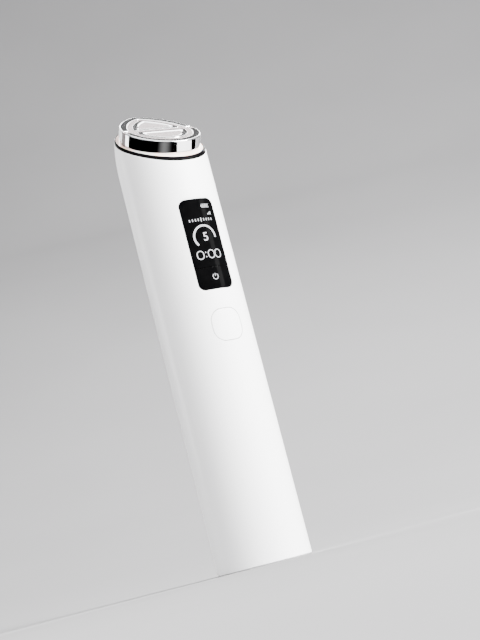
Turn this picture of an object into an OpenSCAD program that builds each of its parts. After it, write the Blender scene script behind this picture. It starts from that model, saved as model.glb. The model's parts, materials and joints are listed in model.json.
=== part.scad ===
// Microcurrent facial device: a hand-held tube with a slanted electrode head.
// The device stands on its base. The display faces -Y and +Z runs up the tube's axis.

/* [Body] */
// Outer diameter of the tube at its base
base_d = 34; // [31:0.5:38]
// How much narrower the tube is at its mouth
taper = 0.7; // [0:0.1:1.2]
// Height of the slanted mouth where it crosses the axis
axis_h = 157.1; // [142:0.5:175]
// Slant of the mouth and of the head, in degrees
tilt = 35.4; // [30:0.2:38]
// Wall of the tube at its mouth
wall = 1.7; // [1.5:0.1:2.1]
// Gap between the bore and the pieces that slide into it
slip = 0.1; // [0.05:0.05:0.2]

/* [Window and keys] */
// Width of the black window, as a chord
win_w = 13.8; // [12.4:0.2:14]
// Height of the black window with the power key
win_h = 33.5; // [31:0.5:36]
// Corner radius of the window
win_corner = 2.5; // [1.5:0.1:3.5]
// Drop from the mouth on the axis to the window's top
win_drop = 26.8; // [25:0.2:30]
// Height of the power key at the window's lower end
power_h = 8.3; // [7.6:0.1:9.4]
// Thickness of the window lens
lens_t = 1.0; // [0.8:0.1:1.1]
// Width of the ledge that carries the lens
ledge_w = 1.1; // [0.8:0.1:1.3]
// Side of the mode button
mode_w = 11.4; // [11:0.2:13]
// Corner radius of the mode button
mode_corner = 4.2; // [3:0.1:5]
// Bare wall between the window and the mode button
mode_gap = 7.2; // [6.4:0.1:9]
// Gap around each key
key_gap = 0.2; // [0.15:0.05:0.25]
// Travel of each key
key_travel = 0.4; // [0.3:0.05:0.5]
// How far a key's flange reaches behind the wall
flange_w = 1.2; // [0.9:0.1:1.4]
// Thickness of a key's flange
flange_t = 1.0; // [0.8:0.1:1.1]

/* [Display marks] */
// Depth of the lit marks in the lens
mark_t = 0.4; // [0.2:0.05:0.5]
// Outer radius of the gauge arc
gauge_r = 4.6; // [4.2:0.1:5]
// Stroke of the gauge arc
gauge_t = 0.85; // [0.8:0.05:1.3]
// Height of the level digit
level_h = 3.3; // [3:0.1:4]
// Height of the clock digits
clock_h = 3.4; // [3.2:0.1:3.8]
// Outer radius of the power mark
power_mark_r = 1.15; // [1:0.05:1.8]

/* [Head] */
// Height of the black seam ring
seam_t = 0.95; // [0.8:0.05:1.2]
// Step from the mouth's edge in to the seam ring
seam_step = 0.2; // [0.1:0.05:0.4]
// Step from the seam ring's edge in to the light ring
light_step = 0.45; // [0.05:0.05:0.6]
// Rise of the light ring above the seam ring
light_rise = 0.65; // [0.5:0.05:0.9]
// Height of the electrode faces above the mouth
head_h = 5.65; // [5.2:0.05:6.4]
// Step from the mouth's edge in to the sides of the drop-shaped head
drop_step = 2.05; // [1.8:0.05:2.4]
// How much larger the radius of the head's long side arcs is than that of its front
drop_bulge = 9.6; // [8.5:0.1:10.5]
// Radius of the head's rounded tip
drop_tip_r = 3.85; // [3:0.1:5]
// Offset of the head's front arc towards the display
drop_shift = 1.85; // [1.5:0.05:2.2]
// Width of the outer electrodes, seen on the face
ring_w = 3.0; // [2.6:0.1:3.4]
// Plastic gap between outer and inner electrodes
ring_gap = 1.75; // [1.4:0.05:2]
// Width of the plastic bar that splits the electrodes
bar_w = 2.15; // [1.6:0.05:2.6]
// Offset of that bar towards the display
bar_shift = 0.4; // [0:0.1:1]
// How far the plastic lies below the electrode faces
plastic_drop = 0.2; // [0.1:0.05:0.35]
// Thickness of the electrode plates
plate_t = 1.2; // [1:0.1:1.4]
// Depth of the dish in the inner electrodes
dish = 0.35; // [0.2:0.05:0.5]
// Drop from the mouth to the head board
board_drop = 2.2; // [2:0.1:2.6]

/* [Inside] */
// Wall of the inner frame
frame_t = 1.2; // [1:0.1:1.4]
// Room in the inner frame beside the battery's cell, which leaves 17.4 for the cell
cell_room = 9.9; // [9.7:0.1:11.5]
// Drop from the mouth on the axis to the top of the cell, which makes it 65 long
cell_drop = 69.1; // [68:0.5:80]
// Thickness of the circuit boards
pcb_t = 1.0; // [0.8:0.1:1.2]
// Room between the bore and the front of the main board
board_room = 6.15; // [6:0.05:6.3]
// Diameter of the vibration motor
motor_d = 6; // [5:0.2:7]
// Length of the vibration motor's can
motor_l = 9; // [8:0.5:10]
// Diameter of the motor shaft
shaft_d = 1; // [0.8:0.1:1.5]
// Height of the cap's underside above the table
cap_inset = 0.6; // [0.4:0.1:1]
// Thickness of the cap's plate
cap_t = 2.4; // [2.2:0.1:3]
// Height of the cap's skirt
skirt_h = 6; // [5.6:0.1:7]
// Diameter of the O-ring's section
seal_d = 1.5; // [1.3:0.1:1.7]
// Diameter of the screw shanks
screw_d = 1.8; // [1.6:0.1:2]

/* [Hidden] */

$fn = 96;
small_fn = 32;

// Size of the blocks that cut or keep one side of the device
big = 80;
// Overshoot of a cut past the face that it opens
past = 1;

// The tube: a slightly tapered outside and a straight bore
base_chamfer = 0.4;
mouth_r = (base_d - taper) / 2;
bore_r = mouth_r - wall;
core_r = bore_r - slip;
inner_r = core_r - frame_t;
tube_top = axis_h + mouth_r * tan(tilt) + past;
function tube_r(z) = base_d / 2 - taper / 2 * z / axis_h;

// Levels of the window and the keys
win_top = axis_h - win_drop;
win_bot = win_top - win_h;
win_mid = (win_top + win_bot) / 2;
lens_bot = win_bot + power_h;
lens_floor_r = tube_r(win_mid) - lens_t;
mark_floor_r = tube_r(win_mid) - mark_t;
lens_gap = 0.05;
mode_z = win_bot - mode_gap - mode_w / 2;
power_z = (win_bot + lens_bot) / 2;
power_mark_rise = 0.4;

// Depths behind the wall, as distances from the axis towards the display
key_half_w = mode_w / 2 + flange_w;
flange_clear = 0.3;
flange_y = sqrt(pow(bore_r, 2) - pow(key_half_w, 2)) - flange_clear;
pcb_y = bore_r - board_room;
switch_w = 4.5;
switch_h = 1.8;
stem_r = 1.2;
stem_fit = 0.08;
stem_out = 2 * key_travel;
stem_tip_y = pcb_y + switch_h + stem_out;
stem_in = 1.1;
key_boss_r = 2.4;
key_wall = 1.5;
key_roof = 1.6;

// The display behind the lens
frame_gap = 0.15;
frame_wall = 0.9;
panel_t = 1.6;
panel_gap = 0.05;
panel_w = win_w - 2 * (ledge_w + frame_gap + frame_wall + panel_gap);
panel_bot = lens_bot + ledge_w + frame_gap + frame_wall + panel_gap;
panel_top = win_top - ledge_w - frame_gap - frame_wall - panel_gap;
panel_y = sqrt(pow(lens_floor_r, 2) - pow(panel_w / 2, 2)) - 2 * panel_gap;
panel_shelf = 0.8;

// Levels of the slanted head above the mouth
light_top = seam_t + light_rise;
web_h0 = 0.35;
pocket_h = light_top - 0.45;
skirt_h0 = pocket_h + 0.4;
plastic_top = head_h - plastic_drop;
plate_h0 = head_h - plate_t;
skirt_t = 0.8;
lug_t = 1;
lug_w = 1.8;
board_h1 = -board_drop;
board_h0 = board_h1 - pcb_t;
carrier_t = 2;
carrier_h0 = board_h0 - carrier_t;
led_h = 0.8;
led_w = 1.2;
led_gap = 0.2;
led_count = 14;
leg_h0 = board_h1 + led_h + led_gap;

// Radii of the upright round pieces of the head
seam_r = mouth_r - seam_step;
light_r = seam_r - light_step;
web_r = seam_r - 1.2;
leg_t = 1.1;
sleeve_t = 0.95;
head_board_r = core_r - sleeve_t - slip;
leg_ro = head_board_r - 0.4;
leg_ri = leg_ro - leg_t;
neck_r = leg_ri - 0.55;

// The drop-shaped outline: a front arc, two side arcs and a tip arc that run into each other
drop_turn = 10;
drop_r = mouth_r - drop_step;
drop_side_r = drop_r + drop_bulge;
drop_y = -drop_shift;
side_x = -drop_bulge * cos(drop_turn);
side_y = drop_y - drop_bulge * sin(drop_turn);
tip_min_r = 1.2;

// Behind the middle of the head the tube is drawn in to follow the drop, by two large leaning cylinders
shoulder_step = 2.03;
shoulder_shift = 1.07;
shoulder_r = drop_side_r + shoulder_step;
shoulder_y = side_y - shoulder_shift;
shoulder_lean = 20;
shoulder_start = -5;
shoulder_turn = tilt - shoulder_lean;
function shoulder_side(y, h) = (y - shoulder_y - h * tan(shoulder_turn)) * cos(shoulder_turn);
function shoulder_x(y, h, r) = side_x + sqrt(pow(shoulder_r - mouth_r + r, 2) - pow(shoulder_side(y, h), 2));

// The bar across the head
bar_y0 = -bar_shift - bar_w / 2;
bar_y1 = -bar_shift + bar_w / 2;

// Places of the contact pins on the head's face: two under the pads, two under lugs of the ring
pin_r = 0.5;
pin_wall = 0.15;
pad_pins = [[-3.2, -6.2], [3.2, 6]];
lug_inset = ring_w + pin_r + 0.1;
function front_x(y, inset) = sqrt(pow(drop_r - inset, 2) - pow(y - drop_y, 2));
function side_x_at(y, inset) = side_x + sqrt(pow(drop_side_r - inset, 2) - pow(y - side_y, 2));
lug_front_y = -3.2;
lug_back_y = 2.8;
function neck_x(y, h) = min(
    sqrt(pow(neck_r - pin_r - pin_wall, 2) - pow(y * cos(tilt) - h * sin(tilt), 2)),
    shoulder_x(y, h, neck_r - pin_r - pin_wall)
);
lug_front = [min(front_x(lug_front_y, lug_inset), neck_x(lug_front_y, pocket_h)), lug_front_y];
lug_back = [-min(side_x_at(lug_back_y, lug_inset), neck_x(lug_back_y, board_h1)), lug_back_y];

// Screws of the head, on a circle about the axis
head_screw_r = 8;
head_screw_turns = [-90, 30, 150];
head_screw_end = 0.9;

// Levels of the inner frame
cap_top = cap_inset + cap_t;
frame_z0 = cap_top + skirt_h;
carrier_foot = 1.5;
frame_z1 = axis_h + carrier_h0 / cos(tilt) - bore_r * tan(tilt) - carrier_foot;
frame_split = -2;
plate_w = 1.6;
root = 0.2;
board_w = 2 * sqrt(pow(inner_r, 2) - pow(pcb_y, 2)) - 1;
board_z0 = frame_z0 + 19;
board_z1 = frame_z1 - 1.6;
board_back = -pcb_y + pcb_t;
rail_gap = 1.1;
rail_x = key_half_w + rail_gap;
rail_lip = 1.4;
opening_w = 2 * rail_x;

// The battery in the rear half of the frame
cell_lift = 13;
guard_inset = 0.4;
terminal_r = 2.8;
terminal_h = 0.8;
tab_t = 0.2;
tab_w = 5;
tab_drop = 6;
pack_z0 = frame_z0 + cell_lift;
cell_z0 = pack_z0 + pcb_t;
cell_z1 = axis_h - cell_drop;
cell_l = cell_z1 - cell_z0;
cell_d = 2 * inner_r - cell_room;
cell_y = inner_r - cell_d / 2 - 0.2;
cell_front = cell_y - cell_d / 2;
stop_z = cell_z1 + terminal_h + tab_t + 0.4;

// The vibration motor above the battery
motor_y = 5;
motor_room = 22;
motor_z0 = frame_z1 - motor_room;
motor_z1 = motor_z0 + motor_l;
motor_fit = 0.05;
weight_gap = 1;
weight_h = 3.5;
weight_r = motor_d / 2 - 0.3;
shaft_in = 5;

// Screws
head_of_screw_r = screw_d * 0.95;
head_of_screw_h = 1.2;
screw_loose = 0.1;
boss_r = screw_d / 2 + 1.1;
boss_x = inner_r - boss_r - 0.35;
boss_back = 5;
front_boss_end = board_back + rail_lip;
chassis_screw_z = [cell_z0 + 22, frame_z1 - 8];
cap_skirt_t = 1.3;
skirt_ri = bore_r - seal_d - cap_skirt_t;
cap_boss_y = 4;
cap_boss_x = sqrt(pow(skirt_ri - boss_r - slip, 2) - pow(cap_boss_y, 2));
cap_boss_h = 9;
cap_screw_in = 7;
cross_w = 0.4;
cross_l = 2;
cross_t = 0.6;

// The charging socket in the cap
port_w = 8.94;
port_h = 3.26;
port_wall = 0.3;
port_z0 = cap_inset + 0.3;
port_z1 = cap_top + 4.1;
port_back = 0.8;
tongue_w = 6.7;
tongue_t = 0.7;
tongue_base = 0.8;
tongue_inset = 0.7;
port_board_gap = 0.7;
port_board_w = 2 * (cap_boss_x - boss_r - port_board_gap);
port_board_l = 10;
port_post_r = 1.1;
port_post = [port_board_w / 2 - port_post_r - 0.2, 3.4];
port_screw_r = 0.6;
port_screw_in = 2.8;
seal_z = (cap_top + frame_z0) / 2;
ribbon_t = 0.2;
ribbon_w = 6;

// Keeps or cuts everything in front of, behind or below a plane
module in_front_of(y) translate([-big, y - big, -big]) cube([2 * big, big, 4 * big]);
module behind(y) translate([-big, y, -big]) cube([2 * big, big, 4 * big]);

// Moves flat or solid shapes from the table's frame to the slanted mouth
module at_mouth() translate([0, 0, axis_h]) rotate([tilt, 0, 0]) children();
module slab(h0, h1) at_mouth() translate([-big / 2, -big / 2, h0]) cube([big, big, h1 - h0]);
module head_front(y) at_mouth() translate([-big / 2, y - big, -big / 2]) cube(big);
module head_back(y) at_mouth() translate([-big / 2, y, -big / 2]) cube(big);

// Draws in the shoulders of an upright round shape of radius r
module shouldered(r) difference() {
    children();
    for (s = [-1, 1]) difference() {
        head_back(shoulder_start);
        at_mouth() translate([s * side_x, shoulder_y, 0]) rotate([-shoulder_turn, 0, 0])
            translate([0, 0, -big / 2]) cylinder(r = shoulder_r - mouth_r + r, h = big, $fn = 2 * $fn);
    }
}

// An upright round post whose ends lie in slanted planes, h0 and h1 above the mouth
module post(r, h0, h1) shouldered(r) intersection() {
    translate([0, 0, axis_h - big / 2]) cylinder(r = r, h = big);
    slab(h0, h1);
}

// A flat outline in X and Z, driven out through the display side of the tube
module towards_display(from = 5, to = base_d) translate([0, -from, 0]) rotate([90, 0, 0])
    linear_extrude(height = to - from) children();

module round_rect(w, h, r) {
    square([w - 2 * r, h], center = true);
    square([w, h - 2 * r], center = true);
    for (x = [-1, 1], y = [-1, 1]) translate([x * (w / 2 - r), y * (h / 2 - r)]) circle(r = r);
}

// The window's outline drawn in by an inset, and the two parts of it
module window_2d(inset) translate([0, win_mid])
    round_rect(win_w - 2 * inset, win_h - 2 * inset, win_corner - min(inset, win_corner / 2));
module above_2d(z) translate([-big / 2, z]) square(big);
module below_2d(z) translate([-big / 2, z - big]) square(big);
module lens_2d(inset, drop) intersection() {
    window_2d(inset);
    above_2d(lens_bot + drop);
}
module power_2d(inset, drop) intersection() {
    window_2d(inset);
    below_2d(lens_bot - drop);
}

module tube_solid() rotate_extrude() polygon([
    [0, 0],
    [base_d / 2 - base_chamfer, 0],
    [tube_r(base_chamfer), base_chamfer],
    [tube_r(tube_top), tube_top],
    [0, tube_top]
]);

module body_shell() color("white") difference() {
    shouldered(mouth_r) tube_solid();
    shouldered(bore_r) translate([0, 0, -past]) cylinder(r = bore_r, h = tube_top + 2 * past);
    slab(0, big);
    difference() {
        towards_display() window_2d(0);
        cylinder(r = lens_floor_r, h = tube_top);
    }
    towards_display() lens_2d(ledge_w, ledge_w);
    towards_display() power_2d(0, 0);
    towards_display() translate([0, mode_z])
        round_rect(mode_w + 2 * key_gap, mode_w + 2 * key_gap, mode_corner + key_gap);
}

// The cap: a plate and a skirt that holds the O-ring, bosses for its screws and posts for the socket's board
module stadium(w, h) {
    square([w - h, h], center = true);
    for (x = [-1, 1]) translate([x * (w - h) / 2, 0]) circle(d = h);
}

module bottom_cap() color("white") difference() {
    union() {
        difference() {
            translate([0, 0, cap_inset]) cylinder(r = core_r, h = frame_z0 - cap_inset);
            translate([0, 0, cap_top]) cylinder(r = skirt_ri, h = skirt_h + past);
            rotate_extrude() translate([bore_r - seal_d, seal_z - seal_d / 2]) square([2 * seal_d, seal_d]);
        }
        for (x = [-1, 1]) translate([x * cap_boss_x, cap_boss_y, cap_inset])
            cylinder(r = boss_r, h = frame_z0 - cap_inset);
        for (x = [-1, 1]) translate([x * port_post[0], port_post[1], cap_inset])
            cylinder(r = port_post_r, h = port_z1 - cap_inset);
    }
    linear_extrude(height = port_z1) stadium(port_w + 2 * slip, port_h + 2 * slip);
    for (x = [-1, 1]) translate([x * cap_boss_x, cap_boss_y, 0]) {
        cylinder(r = screw_d / 2 + screw_loose, h = frame_z0 + past);
        cylinder(r = head_of_screw_r + screw_loose, h = cap_inset + head_of_screw_h + 0.2);
    }
    for (x = [-1, 1]) translate([x * port_post[0], port_post[1], port_z1 - port_screw_in])
        cylinder(r = port_screw_r, h = port_screw_in + past, $fn = small_fn);
}

module cap_seal() color("dimgray") rotate_extrude()
    translate([bore_r - seal_d / 2, seal_z]) circle(d = seal_d, $fn = small_fn);

// A screw that points along +Z, with the seat of its head at the origin and a cross recess
module screw(length, shank_r = screw_d / 2, head_r = head_of_screw_r, head_t = head_of_screw_h) difference() {
    union() {
        cylinder(r = shank_r, h = length, $fn = small_fn);
        translate([0, 0, -head_t]) cylinder(r = head_r, h = head_t, $fn = small_fn);
    }
    for (a = [0, 90]) rotate([0, 0, a]) translate([0, 0, -head_t]) 
        cube([min(cross_l, 1.4 * head_r), cross_w, 2 * min(cross_t, head_t / 2)], center = true);
}

module cap_screws() color("silver") for (x = [-1, 1])
    translate([x * cap_boss_x, cap_boss_y, cap_inset + head_of_screw_h + 0.2])
        screw(frame_z0 + cap_screw_in - cap_inset - head_of_screw_h - 0.2);

module port_shell() color("silver") difference() {
    translate([0, 0, port_z0]) linear_extrude(height = port_z1 - port_z0) stadium(port_w, port_h);
    translate([0, 0, port_z0 - past]) linear_extrude(height = port_z1 - port_back - port_z0 + past)
        stadium(port_w - 2 * port_wall, port_h - 2 * port_wall);
}

module port_tongue() color("black") {
    translate([0, 0, port_z1 - port_back - tongue_base]) linear_extrude(height = tongue_base)
        stadium(port_w - 2 * port_wall, port_h - 2 * port_wall);
    translate([-tongue_w / 2, -tongue_t / 2, port_z0 + tongue_inset])
        cube([tongue_w, tongue_t, port_z1 - port_back - tongue_base - port_z0 - tongue_inset]);
}

module port_board() color("darkgreen") difference() {
    translate([-port_board_w / 2, -port_board_l / 2, port_z1]) cube([port_board_w, port_board_l, pcb_t]);
    for (x = [-1, 1]) translate([x * port_post[0], port_post[1], port_z1 - past])
        cylinder(r = port_screw_r + screw_loose / 2, h = pcb_t + 2 * past, $fn = small_fn);
}

module port_screws() color("silver") for (x = [-1, 1])
    translate([x * port_post[0], port_post[1], port_z1 + pcb_t]) mirror([0, 0, 1])
        screw(pcb_t + port_screw_in, port_screw_r, port_post_r, 0.7);

// A flat ribbon: a path in Y and Z, thickened to one side, and drawn out along X
module ribbon(path, w, side = 1) translate([-w / 2, 0, 0]) rotate([90, 0, 90]) linear_extrude(height = w)
    polygon(concat(path, [for (i = [len(path) - 1:-1:0]) path[i] + ribbon_t * [1, side]]));

ribbon_lap = 8;
ribbon_bow = 0.6;
module port_ribbon() color("darkorange") ribbon([
    [-port_board_l / 4, port_z1 + pcb_t],
    [-port_board_l / 2 + ribbon_t, port_z1 + pcb_t],
    [board_back - ribbon_bow, board_z0 - ribbon_lap],
    [board_back, board_z0 - ribbon_lap / 4],
    [board_back, board_z0 + ribbon_lap]
], ribbon_w);

// The inner frame: two half shells, with rails for the main board and saddles for the battery and motor
module frame_ring() difference() {
    translate([0, 0, frame_z0]) cylinder(r = core_r, h = frame_z1 - frame_z0);
    translate([0, 0, frame_z0 - past]) cylinder(r = inner_r, h = frame_z1 - frame_z0 + 2 * past);
}

module chassis_hole(r, from, to) for (x = [-1, 1], z = chassis_screw_z)
    translate([x * boss_x, from, z]) rotate([-90, 0, 0]) cylinder(r = r, h = to - from, $fn = small_fn);

module main_board_blank() translate([-board_w / 2, -pcb_y, board_z0])
    cube([board_w, pcb_t, board_z1 - board_z0]);

module chassis_front() color("gainsboro") difference() {
    intersection() {
        union() {
            frame_ring();
            for (x = [-1, 1]) translate([x * (rail_x + big / 2), -pcb_y - rail_lip, board_z0 - plate_w])
                translate([-big / 2, 0, 0]) cube([big, pcb_t + 2 * rail_lip, frame_z1 - board_z0 + plate_w]);
            chassis_hole(boss_r, front_boss_end - root, frame_split);
        }
        translate([0, 0, frame_z0]) cylinder(r = core_r, h = frame_z1 - frame_z0);
        in_front_of(frame_split);
    }
    translate([-opening_w / 2, -big, mode_z - key_half_w - 1.2])
        cube([opening_w, big, win_top + 1.2 - mode_z + key_half_w + 1.2]);
    main_board_blank();
    chassis_hole(screw_d / 2, front_boss_end, frame_split + past);
}

// A half-round rib across the rear half of the frame
module rib(z, t) translate([0, 0, z]) cylinder(r = inner_r + root, h = t);

module chassis_rear() color("gainsboro") difference() {
    intersection() {
        union() {
            frame_ring();
            rib(frame_z0, plate_w);
            rib(pack_z0 - plate_w, plate_w);
            rib(cell_z0 + cell_l * 0.22, plate_w);
            rib(cell_z0 + cell_l * 0.74, plate_w);
            rib(stop_z, plate_w);
            rib(motor_z0 + plate_w, plate_w);
            rib(motor_z1 - 2 * plate_w, plate_w);
            for (x = [-1, 1]) translate([x * cap_boss_x, cap_boss_y, frame_z0])
                cylinder(r = boss_r, h = cap_boss_h);
            chassis_hole(boss_r, frame_split, boss_back);
        }
        translate([0, 0, frame_z0]) cylinder(r = core_r, h = frame_z1 - frame_z0);
        behind(frame_split);
    }
    translate([0, cell_y, pack_z0]) cylinder(r = cell_d / 2, h = stop_z - pack_z0);
    translate([0, motor_y, motor_z0]) cylinder(r = motor_d / 2, h = motor_l);
    for (x = [-1, 1]) translate([x * cap_boss_x, cap_boss_y, frame_z0 - past])
        cylinder(r = screw_d / 2, h = cap_screw_in + past, $fn = small_fn);
    chassis_hole(screw_d / 2 + screw_loose, frame_split - past, boss_back + past);
    chassis_hole(head_of_screw_r + screw_loose, boss_back, big / 2);
}

module chassis_screws() color("silver") for (x = [-1, 1], z = chassis_screw_z)
    translate([x * boss_x, boss_back, z]) rotate([90, 0, 0]) screw(boss_back - front_boss_end - 0.4);

// The main board and what is soldered to it
module main_board() color("darkgreen") main_board_blank();

module on_front(x, z, w, h, t) translate([x - w / 2, -pcb_y - t, z - h / 2]) cube([w, t, h]);
module on_back(x, z, w, h, t) translate([x - w / 2, board_back, z - h / 2]) cube([w, t, h]);

control_z = mode_z - 21.7;
output_z = stop_z + plate_w + 19;
coil_z = stop_z + plate_w + 8;
chip_w = 7;
chip_t = 0.9;
chip_rim = 2.5;
part_w = 0.8;
part_l = 1.6;
part_t = 0.6;
part_pitch = 2;
cap_w = 2.2;
cap_l = 1.4;
cap_pitch = 4;

module control_chip() color("black") on_front(0, control_z, chip_w, chip_w, chip_t);

module output_chip() color("black") on_back(0, output_z, 0.9 * chip_w, 0.7 * chip_w, chip_t);

module board_parts() color("tan") {
    for (i = [-2.5:2.5], z = [-1, 1])
        on_front(i * part_pitch, control_z + z * (chip_w / 2 + chip_rim), part_w, part_l, part_t);
    for (i = [-1.5:1.5])
        on_front(chip_w / 2 + chip_rim, control_z + i * part_pitch, part_l, part_w, part_t);
    for (i = [-1:1]) on_front(i * cap_pitch, (board_z0 + control_z - chip_w) / 2, cap_w, cap_l, chip_t);
    for (x = [-1, 1], i = [-1:1])
        on_back(x * (coil_r + cap_w / 2 + part_w), coil_z + i * cap_pitch, cap_w, cap_l, chip_t);
}

coil_r = 4.5;
coil_h = 4;
coil_flange = 0.8;
coil_core_r = 2;

module boost_core() color("dimgray") translate([0, board_back, coil_z]) rotate([-90, 0, 0]) {
    cylinder(r = coil_r, h = coil_flange);
    cylinder(r = coil_core_r, h = coil_h);
    translate([0, 0, coil_h - coil_flange]) cylinder(r = coil_r, h = coil_flange);
}

module boost_winding() color("peru") translate([0, board_back + coil_flange, coil_z]) rotate([-90, 0, 0])
    difference() {
        cylinder(r = coil_r - 0.5, h = coil_h - 2 * coil_flange);
        translate([0, 0, -past]) cylinder(r = coil_core_r, h = coil_h + past);
    }

// The battery pack
module battery_cell() color("slateblue") translate([0, cell_y, cell_z0]) {
    cylinder(d = cell_d, h = cell_l);
    translate([0, 0, cell_l]) cylinder(r = terminal_r, h = terminal_h);
}

module battery_guard() color("darkgreen") translate([0, cell_y, pack_z0])
    cylinder(r = cell_d / 2 - guard_inset, h = pcb_t);

module battery_tab() color("silver") translate([-tab_w / 2, 0, 0]) rotate([90, 0, 90])
    linear_extrude(height = tab_w) polygon([
        [cell_y + terminal_r, cell_z1 + terminal_h],
        [cell_y + terminal_r, cell_z1 + terminal_h + tab_t],
        [cell_front - tab_t, cell_z1 + terminal_h + tab_t],
        [cell_front - tab_t, cell_z1 - tab_drop],
        [cell_front, cell_z1 - tab_drop],
        [cell_front, cell_z1 + terminal_h]
    ]);

// A wire of round section through a list of points, with a ball at each bend
ball = 1.04;
function heading(v) = [0, acos(v[2] / norm(v)), atan2(v[1], v[0])];
module wire(points, r) {
    for (i = [1:len(points) - 2]) translate(points[i]) sphere(r = ball * r, $fn = small_fn);
    for (i = [0:len(points) - 2]) translate(points[i]) rotate(heading(points[i + 1] - points[i]))
        cylinder(r = r, h = norm(points[i + 1] - points[i]), $fn = small_fn);
}

lead_r = 0.45;
lead_x = 4.6;
module battery_lead_red() color("red") wire([
    [0, cell_front - tab_t - lead_r, cell_z1 - 4],
    [2, cell_front - tab_t - lead_r - 0.2, cell_z1 - 1],
    [lead_x, board_back + lead_r + 0.4, cell_z1 + 1.5],
    [lead_x, board_back + lead_r, cell_z1 + 4]
], lead_r);

guard_front = cell_y - cell_d / 2 + guard_inset;
module battery_lead_black() color("black") wire([
    [0, guard_front, pack_z0 + pcb_t / 2],
    [0, guard_front - 2, pack_z0 + pcb_t / 2],
    [-lead_x, board_back + lead_r, board_z0 + 3]
], lead_r);

// The lit marks, drawn flat in X and Z
module stroke_ring(r, t) difference() {
    circle(r = r);
    circle(r = r - t);
}

line_t = 0.2;
battery_w = 3;
battery_h = 1.3;
module battery_mark() {
    difference() {
        square([battery_w, battery_h], center = true);
        square([battery_w - 2 * line_t, battery_h - 2 * line_t], center = true);
    }
    for (i = [-1:1]) translate([i * battery_w * 0.27, 0]) square(battery_h * 0.46, center = true);
    translate([-battery_w / 2 - line_t * 0.8, 0]) square([line_t * 1.6, battery_h / 2], center = true);
}

module step_mark() for (i = [0:2])
    translate([i * battery_h * 0.44, 0]) square([battery_h * 0.3, battery_h * (0.32 + 0.28 * i)]);

tick_pitch = 1.1;
tick_w = 0.4;
tick_h = 0.9;
ticks = 4;
module scale_mark() for (i = [-ticks:ticks])
    translate([tick_pitch * i, 0]) square([tick_w, i == 0 ? 1.7 * tick_h : tick_h], center = true);

gauge_from = -5;
gauge_to = 220;
gauge_gap = (gauge_to + gauge_from + 360) / 2;
module gauge_mark() difference() {
    stroke_ring(gauge_r, gauge_t);
    polygon([
        [0, 0],
        2 * gauge_r * [cos(gauge_to), sin(gauge_to)],
        2 * gauge_r * [cos(gauge_gap), sin(gauge_gap)],
        2 * gauge_r * [cos(gauge_from), sin(gauge_from)]
    ]);
}

module digit_five(h) {
    t = h * 0.18;
    bowl = h * 0.345;
    translate([-h * 0.3, h / 2 - t]) square([h * 0.6, t]);
    translate([-h * 0.3, -bowl * 0.1]) square([t, h / 2 + bowl * 0.1]);
    translate([0, bowl - h / 2]) difference() {
        stroke_ring(bowl, t);
        polygon([[0, 0], [-h, -h * 0.25], [-h, h * 0.55], [-bowl * 0.62, h * 0.3]]);
    }
}

module digit_zero(h) {
    w = h * 0.82;
    t = h * 0.14;
    difference() {
        round_rect(w, h, w / 2 - 0.01);
        round_rect(w - 2 * t, h - 2 * t, w / 2 - t - 0.01);
    }
}

module clock_mark(h) {
    pitch = h * 0.86;
    for (x = [-1.22, 0.23, 1.2]) translate([x * pitch, 0]) digit_zero(h);
    for (y = [-1, 1]) translate([-0.495 * pitch, y * h * 0.24]) circle(r = h * 0.075, $fn = small_fn);
}

module power_mark(r) {
    t = r * 0.34;
    difference() {
        stroke_ring(r, t);
        translate([-r * 0.42, 0]) square([r * 0.84, 2 * r]);
    }
    translate([-t / 2, 0]) square([t, r]);
}

// Each mark's place, as a share of the window's width and of its height below the top
module at_window(across, down) translate([across * win_w, win_top - down * win_h]) children();

module display_marks_2d() {
    at_window(0.22, 0.087) battery_mark();
    at_window(0.242, 0.185) step_mark();
    at_window(0, 0.236) scale_mark();
    at_window(0, 0.427) gauge_mark();
    at_window(0.008, 0.424) digit_five(level_h);
    at_window(0, 0.618) clock_mark(clock_h);
}

module power_mark_2d() translate([0, power_z + power_mark_rise]) power_mark(power_mark_r);

module display_icons() color("ivory") difference() {
    intersection() {
        tube_solid();
        towards_display() display_marks_2d();
    }
    cylinder(r = mark_floor_r, h = tube_top);
}

module display_window() color("black") difference() {
    intersection() {
        tube_solid();
        towards_display() lens_2d(lens_gap, 0);
    }
    cylinder(r = lens_floor_r, h = tube_top);
    difference() {
        towards_display() display_marks_2d();
        cylinder(r = mark_floor_r, h = tube_top);
    }
}

module display_frame() color("black") difference() {
    intersection() {
        cylinder(r = lens_floor_r, h = tube_top);
        towards_display(pcb_y) lens_2d(ledge_w + frame_gap, ledge_w + frame_gap);
    }
    translate([-panel_w / 2 - panel_gap, -base_d, panel_bot - panel_gap])
        cube([panel_w + 2 * panel_gap, base_d - panel_y + panel_t, panel_top - panel_bot + 2 * panel_gap]);
    translate([-panel_w / 2 + panel_shelf, -base_d, panel_bot + panel_shelf])
        cube([panel_w - 2 * panel_shelf, base_d, panel_top - panel_bot - 2 * panel_shelf]);
}

module display_panel() color("midnightblue") translate([-panel_w / 2, -panel_y, panel_bot])
    cube([panel_w, panel_t, panel_top - panel_bot]);

panel_mid = (panel_bot + panel_top) / 2;
module display_ribbon() color("darkorange") ribbon([
    [panel_t - panel_y, panel_mid + ribbon_lap / 2],
    [panel_t - panel_y, panel_mid],
    [-pcb_y - ribbon_t, panel_mid - ribbon_lap / 2],
    [-pcb_y - ribbon_t, panel_mid - ribbon_lap]
], ribbon_w);

// The keys: a cap flush with the tube, a flange behind the wall and a boss on the switch's stem
module key_core(z) translate([0, -stem_tip_y, z]) rotate([90, 0, 0])
    cylinder(r = key_boss_r, h = tube_r(z) - key_roof - stem_tip_y);

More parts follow.
